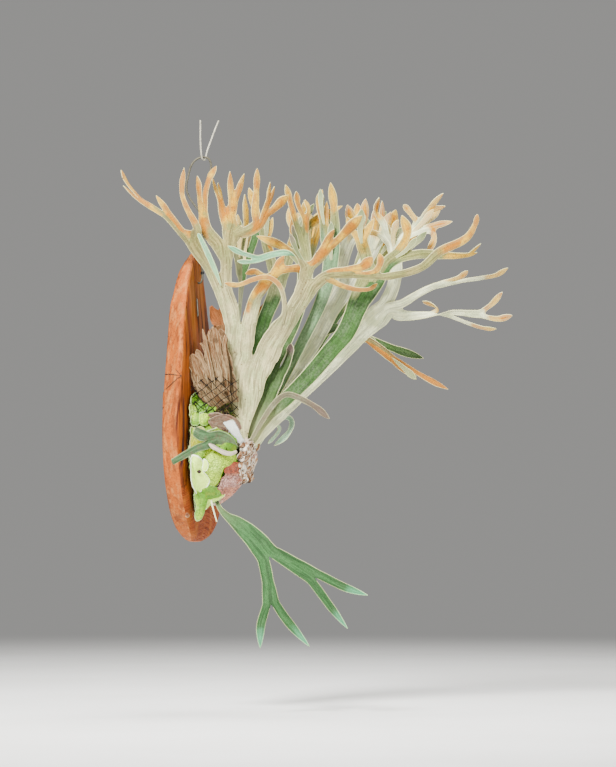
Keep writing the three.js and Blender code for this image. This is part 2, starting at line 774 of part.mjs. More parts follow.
function budLump() {
  const core = new THREE.SphereGeometry(1, 14, 9);
  core.scale(...BUD.halfSize);
  core.rotateY(BUD.lean);
  let lump = solidOf(core);
  for (let i = 0; i < SCALES.count; i += 1) {
    const scale = new THREE.ConeGeometry(SCALES.width / 2, SCALES.long, 5);
    scale.scale(1, 1, SCALES.flatness);
    scale.rotateX(Math.PI / 2 + SCALES.tilt);
    const turned = THREE.MathUtils.degToRad(SCALES.firstAngle + i * SCALES.step);
    scale.rotateZ(turned);
    scale.translate(Math.sin(turned) * SCALES.spread, SCALES.out, SCALES.rows[i % 2]);
    lump = lump.add(solidOf(scale));
  }
  return lump.translate(BUD_AT.toArray());
}

// The net: diamond cells wrapped over the ball's upper side, from angle to angle.
const NET = { from: 150, to: 28, inner: 0.46, outer: 0.98, columns: 10, rows: 8, lift: 3.6 };

function netGeometry() {
  const points = [];
  const faces = [];
  const known = new Map();
  const at = (column, row) => {
    const key = column.toFixed(3) + "," + row.toFixed(3);
    if (!known.has(key)) {
      const angle = THREE.MathUtils.lerp(NET.from, NET.to, column / NET.columns);
      const reach = THREE.MathUtils.lerp(NET.inner, NET.outer, row / NET.rows);
      known.set(key, points.length);
      points.push(overBall(reach, angle, NET.lift));
    }
    return known.get(key);
  };
  for (let row = 1; row < NET.rows; row += 1) {
    for (let column = 1; column < NET.columns; column += 1) {
      if ((row + column) % 2) continue;
      const corners = [[column - 1, row], [column, row - 1], [column + 1, row], [column, row + 1]];
      const hole = corners.map(([x, y]) => [
        THREE.MathUtils.lerp(x, column, NET_STRAND),
        THREE.MathUtils.lerp(y, row, NET_STRAND),
      ]);
      for (let k = 0; k < 4; k += 1) {
        const next = (k + 1) % 4;
        const quad = [at(...corners[k]), at(...corners[next]), at(...hole[next]), at(...hole[k])];
        faces.push([quad[0], quad[2], quad[1]], [quad[0], quad[3], quad[2]]);
      }
    }
  }
  return thicken(points, faces, points.map(() => NET_THICK));
}

// Board: rows from the tip down, each [up, near edge, far edge, front, back, back near, back far]
const BOARD_ROWS = [
  [-133, -4, 3, 11, 14, -4, 3],
  [-140, -17, 10, 9, 17, -16, 9],
  [-152, -32, 14, 7, 21, -30, 12],
  [-168, -47, 18, 6, 25, -43, 15],
  [-188, -62, 23, 4.5, 28, -52, 19],
  [-210, -76, 28, 3, BACK, -60, 24],
  [-240, -89, 36, 1.5, BACK, -69, 31],
  [-275, -99, 51, 0, BACK, -78, 45],
  [-315, -107, 70, 0, BACK, -88, 62],
  [-355, -111, 86, 0, BACK, -97, 77],
  [-395, -108, 97, 0, BACK, -99, 88],
  [-435, -99, 101, 0, BACK, -93, 92],
  [-470, -86, 98, 0, BACK, -80, 88],
  [-500, -68, 84, 0, BACK, -60, 74],
  [-520, -48, 66, 1, 29, -40, 56],
  [-533, -28, 44, 4, 25, -22, 36],
  [-539, -12, 26, 9, 20, -10, 22],
];

// How far in the front face's edge lies, as a share of the width, where the side's shoulder and
// waist lie, as shares of the thickness, and how far the waist swells out
const EDGE = { inset: 0.05, shoulder: 0.16, waist: 0.55, swell: 1 };

function boardGeometry() {
  const points = [];
  const faces = [];
  for (const [up, near, far, front, back, backNear, backFar] of BOARD_ROWS) {
    const inset = (far - near) * EDGE.inset;
    const shoulder = THREE.MathUtils.lerp(front, back, EDGE.shoulder);
    const waist = THREE.MathUtils.lerp(front, back, EDGE.waist);
    const section = [
      [near + inset, front],
      [(near + far) / 2, front],
      [far - inset, front],
      [far, shoulder],
      [(far + backFar) / 2 + EDGE.swell, waist],
      [backFar, back],
      [(backNear + backFar) / 2, back],
      [backNear, back],
      [(near + backNear) / 2 - EDGE.swell, waist],
      [near, shoulder],
    ];
    for (const [x, y] of section) points.push(new THREE.Vector3(x, y, up));
  }
  const sides = 10;
  const rows = BOARD_ROWS.length;
  for (let r = 0; r < rows - 1; r += 1) {
    for (let i = 0; i < sides; i += 1) {
      const a = r * sides + i;
      const b = r * sides + ((i + 1) % sides);
      faces.push([a, a + sides, b + sides], [a, b + sides, b]);
    }
  }
  const base = (rows - 1) * sides;
  for (let i = 1; i < sides - 1; i += 1) {
    faces.push([0, i, i + 1]);
    faces.push([base, base + i + 1, base + i]);
  }
  const drillRadius = LOOP_WIRE / 2 + 1.2 * CLEARANCE;
  const drill = new THREE.CylinderGeometry(drillRadius, drillRadius, DRILLED, 16);
  drill.translate(WIRE_HOLE[0], BACK / 2, WIRE_HOLE[1]);
  const slot = STAPLE_ROUTE.map((p) => (p.y === STAPLE_DEPTH ? p.clone().setY(p.y + CLEARANCE) : p));
  const staple = wireGeometry(slot, THIN_WIRE + 2 * CLEARANCE, WIRE_SIDES, STAPLE_STEPS);
  return solidOf(geometryOf(points, faces)).subtract(solidOf(drill)).subtract(solidOf(staple));
}

// Wires

const WIRE_SIDES = 8;
const STAPLE_STEPS = 14;

function wireGeometry(route, diameter, sides, steps) {
  const section = new THREE.Shape();
  section.absarc(0, 0, diameter / 2, 0, Math.PI * 2, false);
  const path = new THREE.CatmullRomCurve3(route, false, "centripetal");
  return new THREE.ExtrudeGeometry(section, {
    steps,
    curveSegments: sides / 2,
    bevelEnabled: false,
    extrudePath: path,
  });
}

// Out of the hole, up past the tie, round the loop, then wound round its own first leg
const TWIST = { turns: 2.5, perTurn: 6, top: -84, drop: 16, radius: LOOP_WIRE + CLEARANCE };

function hangerRoute() {
  const [holeX, holeZ] = WIRE_HOLE;
  const route = [
    new THREE.Vector3(holeX, 27, holeZ), new THREE.Vector3(holeX, 14, holeZ),
    new THREE.Vector3(holeX, 5, holeZ), new THREE.Vector3(holeX, 1.6, holeZ + 0.4),
    new THREE.Vector3(holeX + 1.4, 0, holeZ + 5), new THREE.Vector3(-6, 0.6, -164),
    new THREE.Vector3(-3.4, 2.8, -150),
    ...[[-2, -130, 1], [-1, -112, 0], [-0.5, -98, 0], [0, -84, 0], [2.5, -70, 0], [5, -55, 0],
      [7.6, -36, 0], [9.4, -20, 0], [9.6, -10.6, 0], [6.6, -4, 0], [0, -1.5, 0], [-8, -3.2, 0],
      [-14.5, -8, 0], [-18.8, -15.5, 0], [-21.6, -26, 0], [-24.2, -38, 0], [-24.4, -47, 0],
      [-20.5, -58, 0], [-13, -69, 1], [-6, -78, 2]].map(place),
  ];
  const count = TWIST.turns * TWIST.perTurn;
  for (let i = 0; i <= count; i += 1) {
    const angle = Math.PI / 2 + (i / TWIST.perTurn) * 2 * Math.PI;
    const side = TWIST.radius * Math.cos(angle) - CLEARANCE;
    const up = TWIST.top - (i / count) * TWIST.drop;
    route.push(place([side, up, TWIST.radius * Math.sin(angle)]));
  }
  return route;
}

const STAPLE_DEPTH = 6;
const STAPLE_ROUTE = [
  [-29, STAPLE_DEPTH, -200], [-29, 0.6, -200.5], [-28.5, -1.3, -203], [-26, -1.7, -212],
  [-24, -1.5, -221], [-23.5, 0.2, -224], [-23.5, STAPLE_DEPTH, -225],
].map((p) => new THREE.Vector3(...p));

const HANGING_ROUTE = [[-5, 50, 6], [-5, 36, 5.5], [-5, 22, 5], [-4.2, 8, 4.4], [-3.4, 0, 3.9],
  [-1.9, -4.4, 2.6], [0, -5.6, 0], [1.6, -4.4, -2.6], [2.8, 0, -3.9], [4.6, 8, -4.8], [10, 23, -6],
  [15.5, 38, -7], [20.5, 50, -8]].map(place);

// The dark tie round the hanger's leg, just above the hole
function tieGeometry(route) {
  const ring = new THREE.TorusGeometry(LOOP_WIRE / 2 + 2 * CLEARANCE + TIE_WIRE / 2, TIE_WIRE / 2, 6, 12);
  const [below, tied, above] = route.slice(4, 7);
  ring.applyQuaternion(new THREE.Quaternion().setFromUnitVectors(UP, unit(below, above)));
  ring.translate(tied.x, tied.y, tied.z);
  return ring;
}

// Finishes
const WOOD = "#b4622f";
const SILVER = "#bdb89c";
const GREEN = "#74a06f";
const DARK_GREEN = "#587a4c";
const LIME = "#b9d46c";

const fern = new THREE.Group();

function addPiece(name, geometry, color, roughness, metalness = 0) {
  const finish = new THREE.MeshStandardMaterial({ color, roughness, metalness });
  const mesh = new THREE.Mesh(geometry, finish);
  mesh.name = name;
  fern.add(mesh);
}

const FRONDS = [
  [frondNearSilver, SILVER], [frondDarkGreen, DARK_GREEN], [frondBlueGreen, "#8fb59a"],
  [frondMidSilver, "#c6c8aa"], [frondBroadGreen, GREEN], [frondRightSilver, "#d2d6b8"],
  [frondBackDroop, DARK_GREEN], [frondGreenBehind, "#86a87c"], [frondRearLeft, "#a9b090"],
  [frondRearMiddle, "#b4b596"], [frondRearRight, "#7fa27c"], [frondStrap, "#8f9a70"],
  [frondSmallArch, "#93b8a4"], [frondStub, "#e4e9e0"], [frondForked, "#5f7a5a"],
  [shieldMauve, "#a98d86"],
];

addPiece("board", geometryOfSolid(boardGeometry()), WOOD, 0.7);
const hanger = hangerRoute();
addPiece("hanger_wire", wireGeometry(hanger, LOOP_WIRE, WIRE_SIDES, 110), "#8f8674", 0.45, 0.8);
addPiece("tie_wire", tieGeometry(hanger), "#2c2a28", 0.5, 0.4);
const staple = wireGeometry(STAPLE_ROUTE, THIN_WIRE, WIRE_SIDES, STAPLE_STEPS);
addPiece("staple_wire", staple, "#9a968c", 0.4, 0.8);
addPiece("hanging_wire", wireGeometry(HANGING_ROUTE, HANG_WIRE, WIRE_SIDES, 32), "#c9c4b4", 0.4, 0.8);

// The room that each seated piece takes, a little larger than the piece itself
const SEAT_GAP = CLEARANCE + 0.15;
const room = (frond, stations) => solidOf(frondSheet(frond, SEAT_GAP, stations));
const frondSlots = FRONDS.map(([frond]) => room(frond, 5));
const hangingSlots = [room(frondHanging, 5), room(thinStalk, 3)];
const drySlots = [shieldDryNear, shieldDryMid, shieldDryFar].map((shield) => room(shield, 4));
const bud = budLump();
const budMiddle = BUD_AT.toArray();
const budSlot = bud.hull().translate(budMiddle.map((v) => -v)).scale(1.05).translate(budMiddle);

const overlaying = [...frondSlots, ...hangingSlots, ...drySlots, budSlot];
addPiece("root_ball", geometryOfSolid(cutFor(solidOf(ballGeometry()), overlaying)), "#4f4630", 0.95);
addPiece("net", geometryOfSolid(cutFor(solidOf(netGeometry()), overlaying)), "#1d201c", 0.6);
for (const [name, shield, color] of [
  ["shield_green", SHIELD_GREEN, LIME],
  ["shield_old", SHIELD_OLD, "#b98a74"],
  ["shield_side", SHIELD_SIDE, "#a9c24a"],
]) {
  const solid = cutFor(solidOf(shieldGeometry(shield)), overlaying);
  addPiece(name, geometryOfSolid(solid), color, 0.6);
}
for (const shield of [shieldDryNear, shieldDryMid, shieldDryFar]) {
  addPiece(shield.name, frondSheet(shield), "#b99c7a", 0.9);
}
addPiece("bud", geometryOfSolid(cutFor(bud, frondSlots)), "#a98a6a", 0.85);
for (const [frond, color] of FRONDS) {
  addPiece(frond.name, frondSheet(frond), color, 0.75);
}
addPiece("frond_hanging", frondSheet(frondHanging), "#699a62", 0.7);
addPiece("thin_stalk", frondSheet(thinStalk), "#cfd8b4", 0.7);

export default fern;
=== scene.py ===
import math
import random
from types import SimpleNamespace

import bpy
from bpy.props import FloatProperty, FloatVectorProperty, IntProperty, PointerProperty
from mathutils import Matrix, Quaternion, Vector, kdtree, noise


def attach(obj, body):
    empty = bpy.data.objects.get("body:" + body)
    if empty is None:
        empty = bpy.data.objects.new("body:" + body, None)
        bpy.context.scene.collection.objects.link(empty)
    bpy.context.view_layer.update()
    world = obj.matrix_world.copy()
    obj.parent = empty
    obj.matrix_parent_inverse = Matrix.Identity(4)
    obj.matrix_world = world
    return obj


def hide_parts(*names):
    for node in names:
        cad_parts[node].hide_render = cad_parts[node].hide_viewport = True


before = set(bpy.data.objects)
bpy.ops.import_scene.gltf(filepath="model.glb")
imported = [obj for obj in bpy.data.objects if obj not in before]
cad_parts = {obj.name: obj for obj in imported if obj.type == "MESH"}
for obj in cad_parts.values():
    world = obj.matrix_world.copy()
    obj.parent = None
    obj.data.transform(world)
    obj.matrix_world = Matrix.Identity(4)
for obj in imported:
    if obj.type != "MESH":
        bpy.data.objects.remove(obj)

bl_info = {
    "name": "Mounted staghorn fern",
    "version": (1, 0, 0),
    "blender": (4, 5, 0),
    "location": "3D View > Sidebar > Fern",
    "description": "Dresses a staghorn fern that hangs on a wooden slab",
    "category": "Object",
}

MM = 0.001
SIDE_TURN = math.radians(16)  # the viewer stands this far round from squarely beside the board
ACROSS = Vector((math.sin(SIDE_TURN), -math.cos(SIDE_TURN), 0))
NEAR = Vector((-math.cos(SIDE_TURN), -math.sin(SIDE_TURN), 0))
UP = Vector((0, 0, 1))


def place(across, up, near):
    """A point in millimetres: out from the wall, up, and towards the viewer."""
    return ACROSS * across + UP * up + NEAR * near


def tint(code):
    """A web colour as the linear red, green and blue that Blender's colours hold."""
    parts = [int(code[i:i + 2], 16) / 255 for i in (1, 3, 5)]
    return tuple(c / 12.92 if c <= 0.04045 else ((c + 0.055) / 1.055) ** 2.4 for c in parts)


def size_of(name, description, default):
    return FloatProperty(name=name, description=description, default=default, unit="LENGTH", precision=4)


def colour_of(name, description, code):
    return FloatVectorProperty(
        name=name, description=description, default=tint(code), subtype="COLOR", size=3, min=0, max=1
    )


class FernSizes(bpy.types.PropertyGroup):
    """Sizes that a user would change"""

    blade: size_of("Blade", "Thickness of a frond's blade", 0.0012)
    stalk: size_of("Stalk", "Thickness of a frond where it leaves the bud", 0.0032)
    row_step: size_of("Row step", "Distance between rows of points along a frond", 0.0045)
    edge_wave: size_of("Edge wave", "How far a blade's edges wave out of its plane", 0.0009)
    loop_wire: size_of("Hanger wire", "Diameter of the wire with the loop", 0.003)
    hang_wire: size_of("Hanging wire", "Diameter of the V-shaped wire above the loop", 0.0023)
    staple_wire: size_of("Staple", "Diameter of the staple", 0.0018)
    tie_wire: size_of("Tie", "Diameter of the dark tie", 0.0012)
    net_strand: size_of("Net strand", "Thickness of the net's strands", 0.0011)
    moss: IntProperty(name="Moss tufts", description="How many tufts of moss grow on the ball", default=1500)


class FernColours(bpy.types.PropertyGroup):
    """Colours that a user would change"""

    silver: colour_of("Silver", "Felt on a frond's under side", "#bab080")
    pale_silver: colour_of("Pale silver", "Felt on the palest fronds", "#f0f4c8")
    green: colour_of("Green", "Upper side of a frond", "#30521e")
    dark_green: colour_of("Dark green", "Upper side of the darkest fronds", "#385224")
    blue_green: colour_of("Blue green", "Upper side of the bluest frond", "#5a7850")
    spore: colour_of("Spores", "Spore patches under the tips", "#ac6c18")
    spore_light: colour_of("Light spores", "The yellower spore patches", "#cfa02c")
    rim: colour_of("Rim", "Down on a frond's edge", "#dcd8a0")
    lime: colour_of("Lime", "Living shield frond", "#badc1a")
    mint: colour_of("Mint", "Palest part of the shield frond", "#ccf064")
    leaf: colour_of("Leaf", "Greenest part of the shield frond", "#4c8a04")
    old: colour_of("Old shield", "Browning shield frond", "#cc8662")
    rust: colour_of("Rust", "Reddest part of it", "#ae4420")
    mauve: colour_of("Mauve", "Young felted shield frond", "#86604e")
    dried: colour_of("Dried", "Dried shield fronds", "#887858")
    wool: colour_of("Wool", "Wool on the short stub", "#fbfdf8")
    wood: colour_of("Wood", "Front of the slab", "#8a4208")
    grain: colour_of("Grain", "Dark grain in the slab", "#381808")
    band: colour_of("Live edge", "The slab's side, under its bark", "#a0521c")
    moss: colour_of("Moss", "Moss on the ball", "#58762e")
    root: colour_of("Roots", "Roots of the ball", "#6a5238")
    net: colour_of("Net", "The plastic net", "#090a09")
    steel: colour_of("Steel", "The hanger's wire", "#524d3c")
    pale_steel: colour_of("Pale steel", "The wire above it", "#b4af9c")


# Shader maths


class Value:
    """A socket that Python's own arithmetic can be written on."""

    def __init__(self, tree, socket):
        self.tree = tree
        self.socket = socket

    def maths(self, operation, *values):
        node = self.tree.nodes.new("ShaderNodeMath")
        node.operation = operation
        for index, value in enumerate(values):
            if isinstance(value, Value):
                self.tree.links.new(value.socket, node.inputs[index])
            else:
                node.inputs[index].default_value = value
        return Value(self.tree, node.outputs[0])

    def __add__(self, other):
        return self.maths("ADD", self, other)

    def __sub__(self, other):
        return self.maths("SUBTRACT", self, other)

    def __rsub__(self, other):
        return self.maths("SUBTRACT", other, self)

    def __mul__(self, other):
        return self.maths("MULTIPLY", self, other)

    def __pow__(self, other):
        return self.maths("POWER", self, other)

    def __abs__(self):
        return self.maths("ABSOLUTE", self)

    __radd__ = __add__
    __rmul__ = __mul__


def socket_of(sockets, name):
    """The socket with that identifier, or else with that name."""
    for socket in sockets:
        if socket.identifier == name:
            return socket
    return next(socket for socket in sockets if socket.name == name and socket.enabled)


class Finish:
    """One material, with the parts that its surface is mixed from."""

    def __init__(self, name, constants=()):
        self.material = bpy.data.materials.new(name)
        self.material.use_nodes = True
        self.tree = self.material.node_tree
        self.shader = self.tree.nodes["Principled BSDF"]
        for socket, value in dict(constants).items():
            self.shader.inputs[socket].default_value = value

    def add(self, kind, settings=(), sockets=(), output=None):
        """Any node: its type, its settings, and the values or links of its sockets."""
        node = self.tree.nodes.new("ShaderNode" + kind)
        for name, value in dict(settings).items():
            setattr(node, name, value)
        for name, value in dict(sockets).items():
            socket = socket_of(node.inputs, name)
            if isinstance(value, Value):
                self.tree.links.new(value.socket, socket)
            else:
                socket.default_value = value
        return Value(self.tree, socket_of(node.outputs, output) if output else node.outputs[0])

    def attribute(self, name):
        return self.add("Attribute", {"attribute_name": name}, output="Vector")

    def place(self):
        return self.add("TexCoord", output="Object")

    def split(self, vector):
        return [self.add("SeparateXYZ", sockets={"Vector": vector}, output=axis) for axis in "XYZ"]

    def join(self, x, y, z):
        return self.add("CombineXYZ", sockets={"X": x, "Y": y, "Z": z})

    def stretched(self, vector, factors):
        return self.add(
            "VectorMath", {"operation": "MULTIPLY"}, {"Vector": vector, "Vector_001": factors}
        )

    def noise(self, vector, scale, detail=2.0, rough=0.5):
        sockets = {"Vector": vector, "Scale": scale, "Detail": detail, "Roughness": rough}
        return self.add("TexNoise", sockets=sockets, output="Fac")

    def cells(self, vector, scale, feature="F1"):
        sockets = {"Vector": vector, "Scale": scale}
        return self.add("TexVoronoi", {"feature": feature}, sockets, output="Distance")

    def ramp(self, value, low, high, start=0.0, end=1.0):
        """Rises smoothly from start to end as the value goes from low to high."""
        sockets = {"Value": value, "From Min": low, "From Max": high, "To Min": start, "To Max": end}
        return self.add("MapRange", {"interpolation_type": "SMOOTHSTEP"}, sockets)

    def mix(self, first, second, factor, blend="MIX"):
        sockets = {"Factor_Float": factor}
        for socket, colour in (("A_Color", first), ("B_Color", second)):
            sockets[socket] = colour if isinstance(colour, Value) else (*colour[:3], 1.0)
        settings = {"data_type": "RGBA", "blend_type": blend}
        return self.add("Mix", settings, sockets, output="Result_Color")

    def wash(self, under, colour, pattern, low, high, most=1.0):
        """Lays a colour over another as a pattern goes from low to high, at most that strongly."""
        return self.mix(under, colour, self.ramp(pattern, low, high, 0.0, most))

    def bump(self, height, strength, distance):
        return self.add("Bump", sockets={"Height": height, "Strength": strength, "Distance": distance})

    def end(self, **inputs):
        """Feeds the shader: base_color, roughness, normal and so on."""
        for name, value in inputs.items():
            socket = self.shader.inputs[name.replace("_", " ").title()]
            if isinstance(value, Value):
                self.tree.links.new(value.socket, socket)
            else:
                socket.default_value = value
        return self.material


def shade(colour, amount):
    """The same colour, darker or lighter."""
    return tuple(min(1.0, c * amount) for c in colour)


# Finishes of what grew


def blade_patterns(f):
    """What a blade's sides are mixed from: where a point lies on it, its clouds, flecks and fibres, and a
    band of painted shade inside its rim.
    """
    p = SimpleNamespace(spot=f.place())
    p.across, p.along, p.left = f.split(f.attribute("flow"))
    p.inset, p.top, p.seed = f.split(f.attribute("blade"))
    p.cloud = f.noise(p.spot, 45.0, 3.0)
    p.mottle = f.noise(p.spot, 330.0, 3.0, 0.7)
    p.fleck = f.noise(p.spot, 900.0, 2.0, 0.7)
    p.broad = f.noise(f.join(p.across * 0.2, p.along * 0.012, p.seed * 5.0), 1.0, 2.0, 0.5)
    p.fine = f.noise(f.join(p.across * 0.62, p.along * 0.03, p.seed), 1.0, 3.0, 0.6)
    # A band from about 1.2 to 5 mm inside the rim, darkened on both sides: painted shade along the edge.
    p.groove = f.ramp(p.inset, 1.2, 1.8) * f.ramp(p.inset, 5.0, 2.2)
    return p


def upper_side(f, p, colour, down, tipped):
    """The green side, with its streaks, its pale down, its tips' own colour and a band of painted shade
    inside its rim.
    """
    green = f.wash(colour, shade(colour, 0.45), p.broad, 0.42, 0.62, 0.8)
    green = f.wash(green, shade(colour, 1.5), p.fine, 0.5, 0.38, 0.5)
    green = f.wash(green, shade(colour, 0.4), p.fine, 0.52, 0.66, 0.6)
    green = f.wash(green, shade(colour, 0.45), p.mottle, 0.52, 0.66, 0.45)
    dust = f.ramp(p.cloud, 0.36, 0.62, 0.25, 1.0) * f.ramp(p.mottle, 0.56, 0.42, 0.35, 1.0)
    green = f.mix(green, tint("#c4ceae"), dust * (0.6 * down))
    if tipped:
        tip_colour, far = tipped
        green = f.wash(green, tip_colour, p.left + (p.cloud - 0.5) * far, far, far * 0.3, 0.85)
    return f.mix(green, shade(colour, 0.4), p.groove * 0.4)


def spore_rust(f, p, light):
    """The rusty velvet of the spores, which is yellower where it is light."""
    colours = bpy.context.scene.fern_colours
    rust = f.wash(colours.spore, colours.spore_light, p.cloud + light - 0.5, 0.4, 0.6)
    rust = f.wash(rust, shade(colours.spore, 0.5), p.mottle, 0.5, 0.64, 0.5)
    return f.wash(rust, shade(colours.spore, 0.5), p.fine, 0.5, 0.64, 0.45)


def under_side(f, p, colour, spore, light, dim):
    """The silver side, felted and streaked, with the spore patches near its tips, painted shade towards the
    crown and a band of painted shade inside its rim.
    """
    rim = bpy.context.scene.fern_colours.rim
    grey = f.wash(colour, tint("#8c9c66"), p.cloud, 0.44, 0.62, 0.6)
    grey = f.wash(grey, shade(colour, 0.5), p.broad, 0.46, 0.62, 0.75)
    grey = f.wash(grey, shade(colour, 0.34), p.fine, 0.52, 0.64, 0.75)
    grey = f.wash(grey, shade(colour, 0.5), p.mottle, 0.52, 0.66, 0.5)
    grey = f.wash(grey, rim, p.fine, 0.47, 0.36, 0.5)
    grey = f.wash(grey, rim, p.mottle, 0.44, 0.34, 0.4)
    # Painted shade: from 160 to 300 mm along the frond the under side is multiplied darker, towards the
    # crown.
    grey = f.mix(grey, tint("#b8b38e"), f.ramp(p.along, 160.0, 300.0, 0.0, dim), "MULTIPLY")
    if spore:
        reach = p.left + (p.cloud - 0.5) * spore * 0.8
        patch = f.ramp(reach, spore, spore * 0.75) * f.ramp(p.inset, 0.2, 0.7)
        grey = f.mix(grey, spore_rust(f, p, light), patch)
    return f.mix(grey, shade(colour, 0.4), p.groove * 0.4)


def frond_finish(
    name, upper, under, spore=0.0, light=0.5, down=0.15, specks=0.0, rim=0.6, woolly=0.45, stains=0.0,
    turned=None, tipped=None, dim=0.9,
):
    """A felted blade: green above, silver below, pale at the rim, with spores under its tips.

    spore is how far from a tip its spore patch reaches in millimetres, light how yellow that is,
    down how much pale down lies on the upper side, specks how many brown flecks it has, rim how pale
    its edges are, woolly how pale its foot is and stains how brown its blotches. Nearer to a tip than
    turned, a long branch has twisted round to its under side. tipped is the colour of its green tips and
    how far it reaches. dim is how much painted shade darkens the under side towards the crown.
    """
    pale = bpy.context.scene.fern_colours.rim
    f = Finish(name, {"Specular IOR Level": 0.15})
    p = blade_patterns(f)
    is_top = f.ramp(p.top, 0.4, 0.6)
    if turned:
        over = f.ramp(p.left + (p.cloud - 0.5) * 30.0, turned + 12.0, turned - 12.0)
        is_top = is_top * (1.0 - over * f.ramp(p.along, 165.0, 190.0))
    silver = under_side(f, p, under, spore, light, dim)
    skin = f.mix(silver, upper_side(f, p, upper, down, tipped), is_top)
    skin = f.wash(skin, pale, p.along, 80.0, 8.0, woolly)
    skin = f.wash(skin, pale, p.inset, 0.8, 0.25, rim)
    if specks:
        mark = f.ramp(f.cells(p.spot, 130.0), 0.15, 0.1) * f.ramp(f.noise(p.spot, 30.0), 0.48, 0.56)
        skin = f.mix(skin, tint("#5a4028"), mark * specks)
    if stains:
        skin = f.wash(skin, tint("#6a5244"), f.noise(p.spot, 160.0, 4.0, 0.75), 0.5, 0.66, stains)
    height = p.broad * 1.1 + p.fine * 0.9 + p.mottle * 0.5 + p.fleck * 0.2
    shine = f.ramp(p.fleck, 0.3, 0.7, 0.65, 0.92)
    return f.end(base_color=skin, roughness=shine, normal=f.bump(height, 0.6, 0.0014))


def cracked(f, skin, spot, depth, torn):
    """An old shield's brown streaks, its cracks and its dead spots."""
    streaks = f.noise(f.stretched(spot, (60.0, 60.0, 190.0)), 1.0, 4.0, 0.7)
    skin = f.wash(skin, tint("#6e3f3a"), streaks, 0.5, 0.64, 0.75)
    skin = f.wash(skin, tint("#2a1712"), abs(f.noise(spot, 55.0, 3.0, 0.6) - 0.5), 0.018, 0.004, torn)
    return f.wash(skin, tint("#2a1712"), depth, 1.9, 2.4)


def shield_finish(name, shades, vein, torn=0.0):
    """A shield frond: a net of fine veins over clouds of its three shades, paler at its rim.
    torn says how strongly dark cracks run through it."""
    f = Finish(name, {"Specular IOR Level": 0.35})
    reach, tone, pale = f.split(f.attribute("lobe"))
    spot = f.place()
    drift = f.add("TexNoise", sockets={"Vector": spot, "Scale": 70.0}, output="Color")
    shift = f.stretched(drift, (0.006, 0.006, 0.006))
    bent = f.add("VectorMath", {"operation": "ADD"}, {"Vector": spot, "Vector_001": shift})
    veins = f.ramp(f.cells(bent, 300.0, "DISTANCE_TO_EDGE"), 0.03, 0.24, 1.0, 0.0)
    broad = f.ramp(f.cells(bent, 80.0, "DISTANCE_TO_EDGE"), 0.01, 0.07, 1.0, 0.0)
    cloud = f.noise(spot, 62.0, 3.0, 0.6)
    dots = f.noise(spot, 520.0, 3.0, 0.75)
    depth = tone + (cloud - 0.5) * 1.1
    skin = f.wash(shades[0], shades[1], depth, 0.05, 0.5)
    skin = f.wash(skin, shades[2], depth, 0.6, 1.15)
    skin = f.wash(skin, tint("#dcbc1c"), depth, 1.15, 1.6, 0.7 * (1 - torn))
    skin = f.mix(skin, vein, veins * (0.62 - pale * 0.35) + broad * 0.3)
    skin = f.mix(skin, shade(vein, 0.7), f.ramp(dots, 0.5, 0.64, 0.0, 0.6) * (1.0 - pale * 0.6))
    if torn:
        skin = cracked(f, skin, bent, depth, torn)
    skin = f.wash(skin, tint("#dcff6c"), pale, 0.4, 1.0, 0.9)
    skin = f.mix(skin, tint("#fbffe4"), f.ramp(reach, 0.9, 0.96) * pale)
    height = veins * -0.5 + broad * -0.8 + cloud * 0.3 + dots * 0.3
    shine = f.ramp(dots, 0.3, 0.7, 0.4, 0.62)
    return f.end(base_color=skin, roughness=shine, normal=f.bump(height, 0.5, 0.0009))


def dried_finish(name, warmth):
    """Dried shield fronds: papery, with fibres along them, brown stains and warm tips."""
    base, fibre = bpy.context.scene.fern_colours.dried, tint("#5e452c")
    f = Finish(name, {"Specular IOR Level": 0.12})
    across, along, left = f.split(f.attribute("flow"))
    inset, _, seed = f.split(f.attribute("blade"))
    fibres = f.noise(f.join(across * 0.6, along * 0.03, seed), 1.0, 4.0, 0.65)
    fine = f.noise(f.join(across * 2.4, along * 0.12, seed), 1.0, 2.0)
    cloud = f.noise(f.place(), 40.0, 4.0, 0.6)
    skin = f.wash(base, fibre, fibres, 0.45, 0.6)
    skin = f.wash(skin, shade(base, 1.5), fibres, 0.45, 0.36, 0.7)
    skin = f.wash(skin, shade(fibre, 0.5), fine, 0.5, 0.62, 0.6)
    warm = f.ramp(left + (cloud - 0.5) * 60.0, 60.0, 4.0, warmth * 0.4, warmth)
    skin = f.mix(skin, tint("#a85c2c"), warm)
    skin = f.wash(skin, tint("#3b2a1c"), cloud, 0.58, 0.7, 0.7)
    skin = f.wash(skin, tint("#33241a"), abs(fibres - 0.52), 0.012, 0.003, 0.9)
    skin = f.wash(skin, tint("#c4ac84"), inset, 0.9, 0.2, 0.2)
    return f.end(base_color=skin, roughness=0.92, normal=f.bump(fibres + fine * 0.5, 0.9, 0.002))


def papery_finish(name):
    """The bud's scales: brown skins with pale, frayed rims."""
    f = Finish(name, {"Specular IOR Level": 0.2})
    across, along, seed = f.split(f.attribute("scale"))
    fibres = f.noise(f.join(across * 6.0, along * 0.8, seed * 9.0), 1.0, 3.0, 0.6)
    cloud = f.noise(f.place(), 90.0, 3.0)
    skin = f.wash(tint("#4e3220"), tint("#a67c58"), fibres * 0.5 + seed * 0.5, 0.25, 0.6)
    skin = f.wash(skin, tint("#e9e2cf"), seed + cloud * 0.4, 0.9, 1.1, 0.9)
    skin = f.wash(skin, tint("#e4dac4"), abs(across), 0.7, 1.0, 0.8)
    skin = f.wash(skin, tint("#2c1c12"), along, 0.35, 0.0, 0.9)
    return f.end(base_color=skin, roughness=0.9, normal=f.bump(fibres, 0.7, 0.0008))


